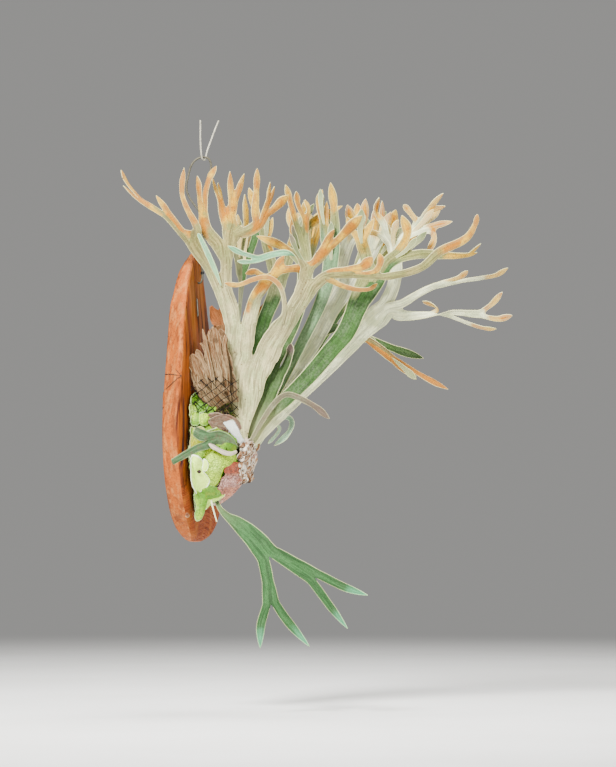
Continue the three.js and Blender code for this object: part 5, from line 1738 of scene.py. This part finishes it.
OLD_LOBES = {
    "patch": dict(lift=[(0, 9.0), (36, 8.5), (52, 4.5), (80, 4.0)], dome=2.0, rim=0.5, pale=0.0, tone=[
        (-400, 1.2), (-438, 1.1), (-444, -0.1), (-454, 0.1), (-462, 0.7), (-500, 0.6)], edge=[
        (27, -431), (34, -426), (44, -428), (50, -435), (52, -448), (45, -458), (34, -467), (22, -474),
        (14, -469), (15, -460), (19, -452), (20, -446), (25, -442), (23, -436)]),
    "mauve": dict(lift=4.6, dome=1.8, tone=-0.1, rim=0.6, edge=[
        (50, -428), (56, -416), (64, -408), (69, -414), (68, -424), (60, -436), (54, -448), (48, -450)]),
    "dead spot": dict(lift=13.4, dome=0.4, tone=3.0, rim=0.0, pale=0.0, bumps=0.1, edge=[
        (-8, -435), (-6, -434), (-4, -435), (-4, -437), (-6, -438), (-8, -437)]),
    "scrap": dict(lift=8.0, dome=0.6, tone=0.3, free=(16, 0.2, 0.1), edge=[
        (46, -450), (54, -449), (56, -453), (50, -458), (45, -457)]),
}


def closed_through(stops, count):
    """Points evenly along the smooth closed curve through some stops."""
    line = through(stops * 3, 0.5)
    third = len(line) // 3
    return [line[third + whole(third * i / count)] for i in range(count)]


def lobe_sheet(name, edge, lift, dome, seed, tone=0.0, rim=0.6, pale=0.2, bumps=1.1, free=None):
    """A domed lobe whose outline is drawn as the viewer sees it, laid over the ball. Its lift may be
    stops across, and its tone stops up."""
    count, rings = 64, 11
    stops = [Vector((a, u, 0)) for a, u in edge]
    outline = closed_through(stops, count)
    area = sum(p.x * q.y - q.x * p.y for p, q in zip(outline, outline[1:] + outline[:1]))
    if area < 0:
        outline.reverse()
    middle = sum(outline, Vector()) / count
    points, faces, lobe = [], [], []

    def lay(spot, share):
        if free:
            near, per_across, per_up = free
            base = place(spot.x, spot.y, near + per_across * spot.x + per_up * (spot.y + 480))
            normal = (NEAR - ACROSS * per_across - UP * per_up).normalized()
        else:
            spots = [on_ball(spot.x + aside, spot.y) for aside in (-6, -3, 0, 3, 6)]
            base = sum((point for point, _ in spots), Vector()) / len(spots)
            normal = sum((out for _, out in spots), Vector()).normalized()
        rise = value_at(lift, spot.x) + dome * (1 - share ** 2) + rim * smoothstep((share - 0.82) / 0.18)
        rise += bumps * noise.fractal(base / 9 + Vector((seed, 0, 0)), 1.0, 2.0, 3)
        points.append(base + normal * rise)
        lobe.append((share, value_at(tone, spot.y) + 0.3 * noise.noise(base / 15), pale))

    lay(middle, 0.0)
    for r in range(1, rings + 1):
        for i, spot in enumerate(outline):
            share = r / rings
            torn = 1 + 0.035 * share * noise.noise(Vector((i * 0.7, seed, 0)))
            lay(middle + (spot - middle) * share * torn, share)
    for i in range(count):
        j = (i + 1) % count
        faces.append([0, 1 + i, 1 + j])
        for r in range(rings - 1):
            a, b = 1 + r * count + i, 1 + r * count + j
            faces.append([a, a + count, b + count, b])
    skin, both = thicken(points, faces, [1.2] * len(points))
    return smooth_over(mesh_piece(name, skin, both, {"lobe": lobe * 2}))


def dress_shields():
    """The living shield fronds, their lobes, and the older patch over them."""
    colours = bpy.context.scene.fern_colours
    living = (colours.mint, colours.lime, colours.leaf)
    browned = (tint("#c49c90"), colours.old, colours.rust)
    groups = [
        # The green sheet shows only in the gaps between the lobes; its tone of 1.0 paints it the dark leaf
        # green there: painted shade between the lobes.
        ("shield_green", GREEN_SHEET, 1.0, GREEN_LOBES, living, tint("#587a0c"), 0.0),
        ("shield_side", SIDE_SHEET, 0.9, LOBES, living, tint("#5a7810"), 0.0),
        ("shield_old", OLD_SHEET, 0.35, OLD_LOBES, browned, tint("#7a3c22"), 0.8),
    ]
    for k, (name, sheet, tone, lobes, shades, vein, torn) in enumerate(groups):
        pieces = [shield_sheet(name, sheet, tone, k + 1.0)]
        for n, (key, lobe) in enumerate(lobes.items()):
            pieces.append(lobe_sheet(name + "_" + key.replace(" ", "_"), seed=k * 7 + n + 2.0, **lobe))
        piece = join_pieces(name, pieces)
        dress(piece, [name], shield_finish(name.replace("_", " "), shades, vein, torn))


# Torn sheets of the dried shield nearest the viewer, each a blade of its own with curled edges
SHREDS = [
    [[6, -344, 52, 18], [-3, -318, 64, 22], [-11, -294, 68, 17], [-15, -277, 68, 0]],
    [[12, -338, 55, 12], [4, -302, 67, 11], [-3, -286, 69, 9], [-9, -271, 68, 0]],
    [[27, -346, 46, 24], [17, -304, 60, 32],
        [[9, -274, 63, 14], [1, -259, 62, 0]],
        [[18, -270, 61, 15], [13, -239, 60, 0]]],
    [[16, -330, 60, 5], [12, -302, 68, 5], [6, -274, 69, 5], [-1, -242, 64, 0]],
    [[38, -346, 38, 24], [31, -300, 48, 26], [26, -266, 50, 15], [24, -242, 47, 0]],
    [[34, -330, 50, 6], [34, -300, 58, 5], [29, -268, 60, 5], [31, -249, 58, 0]],
]
GREEN_FOLD = [
    [25, -183, 61, 2], [16, -160, 69, 7.5], [5, -135, 78, 8], [-3, -118, 82, 6], [-7, -110, 83, 0],
]
MAUVE_LOBE = [
    [46, -388, 44, 20], [38, -380, 56, 31], [27, -374, 66, 33], [16, -371, 73, 22], [7, -370, 78, 4],
]
PALE_STRIP = [
    [47, -413, 58, 4], [38, -416, 72, 6], [29, -414, 79, 8], [18, -408, 86, 7], [8, -402, 90, 0],
]


DRY = [
    ("shield_dry_near", SHIELD_DRY_NEAR, 0.2), ("shield_dry_mid", SHIELD_DRY_MID, 0.45),
    ("shield_dry_far", SHIELD_DRY_FAR, 0.9),
]


def shreds():
    """The torn sheets, which stand at three angles."""
    return [
        frond_piece("shred", {"blade": blade, "cup": 0.2, "roll": (n % 3 - 1) * 16, "stalk": 1.0},
                    41.0 + n, ragged=0.8, wave=2.5, ridges=1.1, grain=2.0)
        for n, blade in enumerate(SHREDS)
    ]


def dress_dried_shields():
    """The papery shield fronds that stand above the ball."""
    for k, (name, shield, warmth) in enumerate(DRY):
        piece = frond_piece(name, shield, 31.0 + k, ragged=0.45, wave=2.0, ridges=1.1, grain=2.2)
        if name == "shield_dry_near":
            piece = join_pieces(name, [piece, *shreds()])
        dress(piece, [name], dried_finish(name.replace("_", " "), warmth))


def dress_mauve_shield():
    """The small young shield, with its lobe and the pale strip below it."""
    mauve = bpy.context.scene.fern_colours.mauve
    strip = {"blade": PALE_STRIP, "face": -1, "stalk": 1.0, "cup": 0.15}
    lobe = {"blade": MAUVE_LOBE, "stalk": 1.2, "cup": 0.12}
    piece = join_pieces("shield_mauve", [
        frond_piece("shield_mauve", SHIELD_MAUVE, 37.0, ragged=0.12, wave=1.5, ridges=0.4, grain=2.6),
        frond_piece("pale_strip", strip, 38.0, wave=1.5),
        frond_piece("mauve_lobe", lobe, 39.0, wave=2.0, ridges=0.5),
    ])
    finish = frond_finish("mauve shield", mauve, tint("#dccab4"), down=0.3, rim=0.0, woolly=0.0)
    dress(piece, ["shield_mauve"], finish)


BUD_MIDDLE = place(51, -407, -3)
BUD_HALF = Vector((27, 17.5, 26))
BUD_LEAN = Quaternion((0, 1, 0), -0.2)
GOLDEN_TURN = 2.39996
SCALES_ROUND, SCALES_BELOW, SCALE_THICK = 110, 120, 0.45


def bud_core():
    """The rhizome's tip, an egg that leans a little."""
    bpy.ops.mesh.primitive_uv_sphere_add(segments=48, ring_count=26, radius=1)
    core = bpy.context.object
    core.name = core.data.name = "bud"
    core.scale = [h * MM * 0.97 for h in BUD_HALF]
    core.rotation_mode = "QUATERNION"
    core.rotation_quaternion = BUD_LEAN
    core.location = BUD_MIDDLE * MM
    bpy.ops.object.transform_apply()
    bpy.ops.object.shade_smooth()
    return core


def on_bud(theta, phi):
    """A point on the bud and its normal. theta is the angle from the axis that its scales point along."""
    axis = place(0.35, 0.8, 0.35).normalized()
    side = axis.orthogonal().normalized()
    side.rotate(Quaternion(axis, phi))
    ray = axis * math.cos(theta) + side * math.sin(theta)
    local = ray.copy()
    local.rotate(BUD_LEAN.inverted())
    size = 1 / math.sqrt(sum((c / h) ** 2 for c, h in zip(local, BUD_HALF)))
    normal = Vector([c / h ** 2 for c, h in zip(local, BUD_HALF)])
    normal.rotate(BUD_LEAN)
    return BUD_MIDDLE + ray * size, normal.normalized()


def add_scale(points, faces, kinds, seed, wide, frame_at, rise_at):
    """Adds a scale of six rows. frame_at gives a row's foot, right and normal, rise_at a point's height."""
    start = len(points)
    for r in range(6):
        t = r / 5
        foot, right, normal = frame_at(t)
        girth = wide * math.sin(math.pi * (0.16 + 0.84 * t)) ** 0.7 * (1 if t < 1 else 0.05)
        for s in (-1.0, -0.5, 0.0, 0.5, 1.0):
            spot = foot + right * (s * girth) + normal * rise_at(s, t)
            points.append(spot + noise.noise_vector(spot / 4) * 0.5)
            kinds.append((s, t, seed))
    for r in range(5):
        for a in range(start + r * 5, start + r * 5 + 4):
            faces.append([a, a + 1, a + 6, a + 5])


def scales_round_bud(points, faces, kinds, draw):
    """Scales in a spiral round the bud, which curl off it towards their tips."""
    for n in range(SCALES_ROUND):
        theta, phi = math.acos(0.9 - 1.7 * n / SCALES_ROUND), n * GOLDEN_TURN
        long, wide = draw.uniform(11, 19), draw.uniform(2.6, 4.8)
        seed, curl = draw.random(), draw.uniform(1.0, 5.0)

        def frame_at(t):
            foot, normal = on_bud(theta + 0.18 - t * long / 26, phi)
            ahead = (on_bud(theta - 0.1 - t * long / 26, phi)[0] - foot).normalized()
            return foot, ahead.cross(normal), normal

        def rise_at(s, t):
            return 0.6 + curl * t * t - 0.9 * s * s

        add_scale(points, faces, kinds, seed, wide, frame_at, rise_at)


def scales_below_bud(points, faces, kinds, draw):
    """Scales that lie over the shields below the bud and point up to it."""
    top = Vector((57, -396, 0))
    for _ in range(SCALES_BELOW):
        down = draw.random()
        aside = draw.uniform(-18 + 8 * down, 4)
        spot = Vector((60 - 8 * down + aside, -406 - 50 * down, 0))
        wide, long, seed = draw.uniform(2.2, 5.2), draw.uniform(7, 13), draw.random()
        stray = Vector((draw.uniform(-0.7, 0.7), draw.uniform(-0.5, 0.2), 0))
        toward = ((top - spot).normalized() + stray).normalized()

        def frame_at(t):
            along = spot + toward * long * t
            base, normal = on_ball(along.x, along.y)
            return base, (ACROSS * toward.y - UP * toward.x).normalized(), normal

        def rise_at(s, t):
            return 7.6 + 2.0 * t * t - 0.8 * s * s + seed

        add_scale(points, faces, kinds, seed, wide, frame_at, rise_at)


def dress_bud():
    """The rhizome's tip under its papery scales."""
    core = bud_core()
    draw = random.Random(17)
    points, faces, kinds = [], [], []
    scales_round_bud(points, faces, kinds, draw)
    scales_below_bud(points, faces, kinds, draw)
    skin, both = thicken(points, faces, [SCALE_THICK] * len(points))
    scales = mesh_piece("bud_scales", skin, both, {"scale": kinds * 2})
    bud = join_pieces("bud", [core, scales])
    dress(bud, ["bud"], papery_finish("papery scales"))


CROWN = [
    ("frond_near_silver", FROND_NEAR_SILVER, 1.0, "silver"),
    ("frond_mid_silver", FROND_MID_SILVER, 2.0, "mid silver"),
    ("frond_rear_left", FROND_REAR_LEFT, 3.0, "rear silver"),
    ("frond_rear_middle", FROND_REAR_MIDDLE, 4.0, "rear silver"),
    ("frond_right_silver", FROND_RIGHT_SILVER, 5.0, "pale silver"),
    ("frond_dark_green", FROND_DARK_GREEN, 6.0, "dark green"),
    ("frond_back_droop", FROND_BACK_DROOP, 7.0, "droop"),
    ("frond_blue_green", FROND_BLUE_GREEN, 8.0, "blue green"),
    ("frond_broad_green", FROND_BROAD_GREEN, 9.0, "broad green"),
    ("frond_green_behind", FROND_GREEN_BEHIND, 10.0, "green"),
    ("frond_rear_right", FROND_REAR_RIGHT, 11.0, "green"),
]
SMALL = [
    ("frond_small_forked", FROND_FORKED, 12.0, "small dark"),
    ("frond_strap", FROND_STRAP, 13.0, "strap"),
    ("frond_small_arch", FROND_SMALL_ARCH, 14.0, "pale blue"),
    ("frond_hanging", FROND_HANGING, 15.0, "plain green"),
]


def frond_finishes():
    """A finish for each kind of frond."""
    colours = bpy.context.scene.fern_colours
    pale = tint("#b4b884")
    return {
        "silver": frond_finish(
            "silver felt", tint("#74b482"), colours.silver, 92.0, 0.45, 0.5, specks=0.8, woolly=0.15),
        # The middle silver frond lies in the near frond's shadow: its near-white felt is partly its own pale
        # colour and partly painted light, and it gets little painted shade towards the crown.
        "mid silver": frond_finish(
            "middle silver felt", colours.green, tint("#f6f8d4"), 50.0, 0.5, specks=0.3, dim=0.1),
        # The rear silver felt is paler than the silver felt: partly its own colour, partly painted light for
        # fronds that lie in the shadow of those in front.
        "rear silver": frond_finish(
            "rear silver felt", colours.green, tint("#d2d6ac"), 70.0, 0.65, specks=0.3),
        "pale silver": frond_finish(
            "pale silver felt", colours.green, colours.pale_silver, 42.0, 0.5, turned=160.0, dim=0.1),
        "dark green": frond_finish(
            "dark green blade", colours.dark_green, pale, 60.0, 0.5, 0.1, woolly=0.2, turned=150.0,
            tipped=(tint("#6c5454"), 24.0)),
        "droop": frond_finish("drooping blade", colours.dark_green, tint("#a8805c"), 110.0, 0.3, 0.1),
        "broad green": frond_finish("broad green blade", colours.green, pale, 60.0, 0.6, turned=130.0),
        "green": frond_finish("green blade", colours.green, pale, 60.0, 0.6, turned=165.0),
        "plain green": frond_finish(
            "plain green blade", tint("#345c30"), pale, down=0.04, rim=0.35, woolly=0.1,
            tipped=(tint("#56a074"), 38.0)),
        "small dark": frond_finish(
            "small dark blade", tint("#466a40"), pale, down=0.2, specks=0.8, rim=0.2, woolly=0.1, stains=0.5),
        "strap": frond_finish(
            "strap blade", tint("#6e6a50"), pale, down=0.2, rim=0.3, woolly=0.1, stains=0.5,
            tipped=(tint("#5c4840"), 60.0)),
        "blue green": frond_finish("blue-green blade", colours.blue_green, pale, 45.0, 0.6, 0.3, turned=60.0),
        "pale blue": frond_finish("pale blue-green blade", tint("#96bc98"), pale, down=0.5),
    }


def dress_fronds(group):
    """The fronds of a group, with their small side tines."""
    finishes = frond_finishes()
    for name, frond, seed, kind in group:
        piece = frond_piece(name, frond, seed)
        more = []
        way = frond.get("face", 1)
        if name == "frond_near_silver":
            more, way = [GREEN_FOLD], -way
        elif group is CROWN:
            more = side_tines(frond["blade"], random.Random(seed))
        if more:
            parts = [
                frond_piece("tine", {"blade": blade, "stalk": 1.2, "face": way}, seed + 0.1 * n)
                for n, blade in enumerate(more)
            ]
            piece = join_pieces(name, [piece, *parts])
        dress(piece, [name], finishes[kind])


WOOL_HAIRS = 2600


def dress_stub():
    """The white woolly stub."""
    stub = frond_piece("frond_woolly_stub", FROND_STUB, 21.0)
    draw = random.Random(23)
    points, faces = [], []
    for _ in range(WOOL_HAIRS):
        face = draw.choice(stub.data.polygons)
        foot = face.center / MM
        lean = Vector([draw.uniform(-0.7, 0.7) for _ in range(3)])
        tip = foot + (face.normal + lean).normalized() * draw.uniform(1.2, 2.8)
        wide = face.normal.cross(lean).normalized() * 0.09
        points += [foot - wide, foot + wide, tip]
        faces.append([len(points) - 3, len(points) - 2, len(points) - 1])
    wool = join_pieces("frond_woolly_stub", [stub, mesh_piece("wool", points, faces)])
    dress(wool, ["frond_woolly_stub"], wool_finish("white wool"))


def dress_stalk():
    """The thin stalk that hangs under the shield."""
    stalk = frond_piece("thin_stalk", THIN_STALK, 22.0, wave=0.3)
    finish = frond_finish("pale stalk", tint("#cfd8b4"), tint("#cfd8b4"), down=0.3)
    dress(stalk, ["thin_stalk"], finish)


# Each light's name, place, size in metres and power
LIGHTS = [
    ("key", place(-1000, 1700, 2300), 0.7, 400), ("fill", place(2000, 300, 1400), 2.0, 65),
    ("above", place(500, 2400, -300), 1.0, 95), ("behind", place(600, 300, -2400), 2.0, 40),
]
PLANT_MIDDLE = Vector((0.04, -0.14, -0.32))
CAMERA_AT = place(145.6, -318.5, 8000)
FLOOR_UP = -0.78


def pale_floor():
    """A round floor that fades away from its middle."""
    bpy.ops.mesh.primitive_circle_add(
        vertices=96, radius=6, fill_type="NGON", location=(0, 0, FLOOR_UP))
    floor = bpy.context.object
    floor.name = "floor"
    f = Finish("pale floor", {"Roughness": 0.9, "Specular IOR Level": 0.1})
    spot = f.place()
    away = f.add("VectorMath", {"operation": "LENGTH"}, {"Vector": spot}, output="Value")
    skin = f.wash(tint("#e9e8e4"), tint("#e3e2dd"), f.noise(spot, 3.0, 3.0), 0.3, 0.7)
    floor.data.materials.append(f.end(base_color=skin, alpha=f.ramp(away, 2.6, 0.2)))
    return floor


def pale_room():
    """Soft light from all round."""
    world = bpy.data.worlds.new("pale room")
    world.use_nodes = True
    background = world.node_tree.nodes["Background"]
    background.inputs["Color"].default_value = (*tint("#eeedea"), 1)
    background.inputs["Strength"].default_value = 0.36
    bpy.context.scene.world = world


def area_light(name, spot, size, power):
    """A square light that looks at the middle of the plant."""
    data = bpy.data.lights.new(name, "AREA")
    data.size = size
    data.energy = power
    light = bpy.data.objects.new(name, data)
    light.location = spot * MM
    light.rotation_euler = (PLANT_MIDDLE - light.location).to_track_quat("-Z", "Y").to_euler()
    bpy.context.scene.collection.objects.link(light)
    return light


def photo_camera():
    """The camera at the photograph's angle."""
    lens = bpy.data.cameras.new("camera")
    lens.lens = 268.2
    lens.sensor_width = 36
    lens.clip_end = 60
    lens.dof.use_dof = False
    camera = bpy.data.objects.new("camera", lens)
    camera.location = CAMERA_AT * MM
    camera.rotation_euler = (-NEAR).to_track_quat("-Z", "Y").to_euler()
    bpy.context.scene.collection.objects.link(camera)
    bpy.context.scene.camera = camera
    return camera


def set_stage():
    """A pale floor, soft light from all round, and the photograph's camera."""
    floor = pale_floor()
    pale_room()
    lights = [area_light(*light) for light in LIGHTS]
    camera = photo_camera()


# The add-on


class FERN_OT_board(bpy.types.Operator):
    """Build the wooden slab and the thread round its edge"""

    bl_idname = "fern.board"
    bl_label = "Board"

    def execute(self, context):
        dress_board()
        return {"FINISHED"}


class FERN_OT_wires(bpy.types.Operator):
    """Build the hanger with its loop, the tie, the staple and the hanging wire"""

    bl_idname = "fern.wires"
    bl_label = "Wires"

    def execute(self, context):
        dress_wires()
        return {"FINISHED"}


class FERN_OT_root_ball(bpy.types.Operator):
    """Build the dome of soil with its moss and roots"""

    bl_idname = "fern.root_ball"
    bl_label = "Root ball"

    def execute(self, context):
        dress_root_ball()
        return {"FINISHED"}


class FERN_OT_net(bpy.types.Operator):
    """Build the black net over the ball"""

    bl_idname = "fern.net"
    bl_label = "Net"

    def execute(self, context):
        dress_net()
        return {"FINISHED"}


class FERN_OT_shields(bpy.types.Operator):
    """Build the living shield fronds and the older patch over them"""

    bl_idname = "fern.shields"
    bl_label = "Shield fronds"

    def execute(self, context):
        dress_shields()
        return {"FINISHED"}


class FERN_OT_dried_shields(bpy.types.Operator):
    """Build the papery shield fronds above the ball, and the young mauve one"""

    bl_idname = "fern.dried_shields"
    bl_label = "Dried shield fronds"

    def execute(self, context):
        dress_dried_shields()
        dress_mauve_shield()
        return {"FINISHED"}


class FERN_OT_bud(bpy.types.Operator):
    """Build the rhizome's tip and its papery scales"""

    bl_idname = "fern.bud"
    bl_label = "Bud"

    def execute(self, context):
        dress_bud()
        return {"FINISHED"}


class FERN_OT_crown(bpy.types.Operator):
    """Build the large antler fronds"""

    bl_idname = "fern.crown"
    bl_label = "Antler fronds"

    def execute(self, context):
        dress_fronds(CROWN)
        return {"FINISHED"}


class FERN_OT_small_fronds(bpy.types.Operator):
    """Build the small fronds, the hanging one, the woolly stub and the thin stalk"""

    bl_idname = "fern.small_fronds"
    bl_label = "Small fronds"

    def execute(self, context):
        dress_fronds(SMALL)
        dress_stub()
        dress_stalk()
        return {"FINISHED"}


class FERN_OT_stage(bpy.types.Operator):
    """Set the floor, the light and the camera"""

    bl_idname = "fern.stage"
    bl_label = "Stage"

    def execute(self, context):
        set_stage()
        return {"FINISHED"}


OPERATORS = [
    FERN_OT_board, FERN_OT_wires, FERN_OT_root_ball, FERN_OT_net, FERN_OT_shields, FERN_OT_dried_shields,
    FERN_OT_bud, FERN_OT_crown, FERN_OT_small_fronds, FERN_OT_stage,
]


class FERN_PT_panel(bpy.types.Panel):
    bl_idname = "FERN_PT_panel"
    bl_label = "Mounted staghorn fern"
    bl_space_type = "VIEW_3D"
    bl_region_type = "UI"
    bl_category = "Fern"

    def draw(self, context):
        column = self.layout.column()
        for group in (context.scene.fern_sizes, context.scene.fern_colours):
            for name in group.__annotations__:
                column.prop(group, name)
        for operator in OPERATORS:
            column.operator(operator.bl_idname)


CLASSES = [FernSizes, FernColours, *OPERATORS, FERN_PT_panel]


# Blender's vector noise follows the clock until it gets a seed
NOISE_SEED = 7


def register():
    noise.seed_set(NOISE_SEED)
    for item in CLASSES:
        bpy.utils.register_class(item)
    bpy.types.Scene.fern_sizes = PointerProperty(type=FernSizes)
    bpy.types.Scene.fern_colours = PointerProperty(type=FernColours)


def unregister():
    del bpy.types.Scene.fern_colours
    del bpy.types.Scene.fern_sizes
    for item in reversed(CLASSES):
        bpy.utils.unregister_class(item)


def main():
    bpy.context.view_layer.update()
    register()
    bpy.ops.fern.board()
    bpy.ops.fern.wires()
    bpy.ops.fern.root_ball()
    bpy.ops.fern.net()
    bpy.ops.fern.shields()
    bpy.ops.fern.dried_shields()
    bpy.ops.fern.bud()
    bpy.ops.fern.crown()
    bpy.ops.fern.small_fronds()
    bpy.ops.fern.stage()


if __name__ == "__main__":
    main()
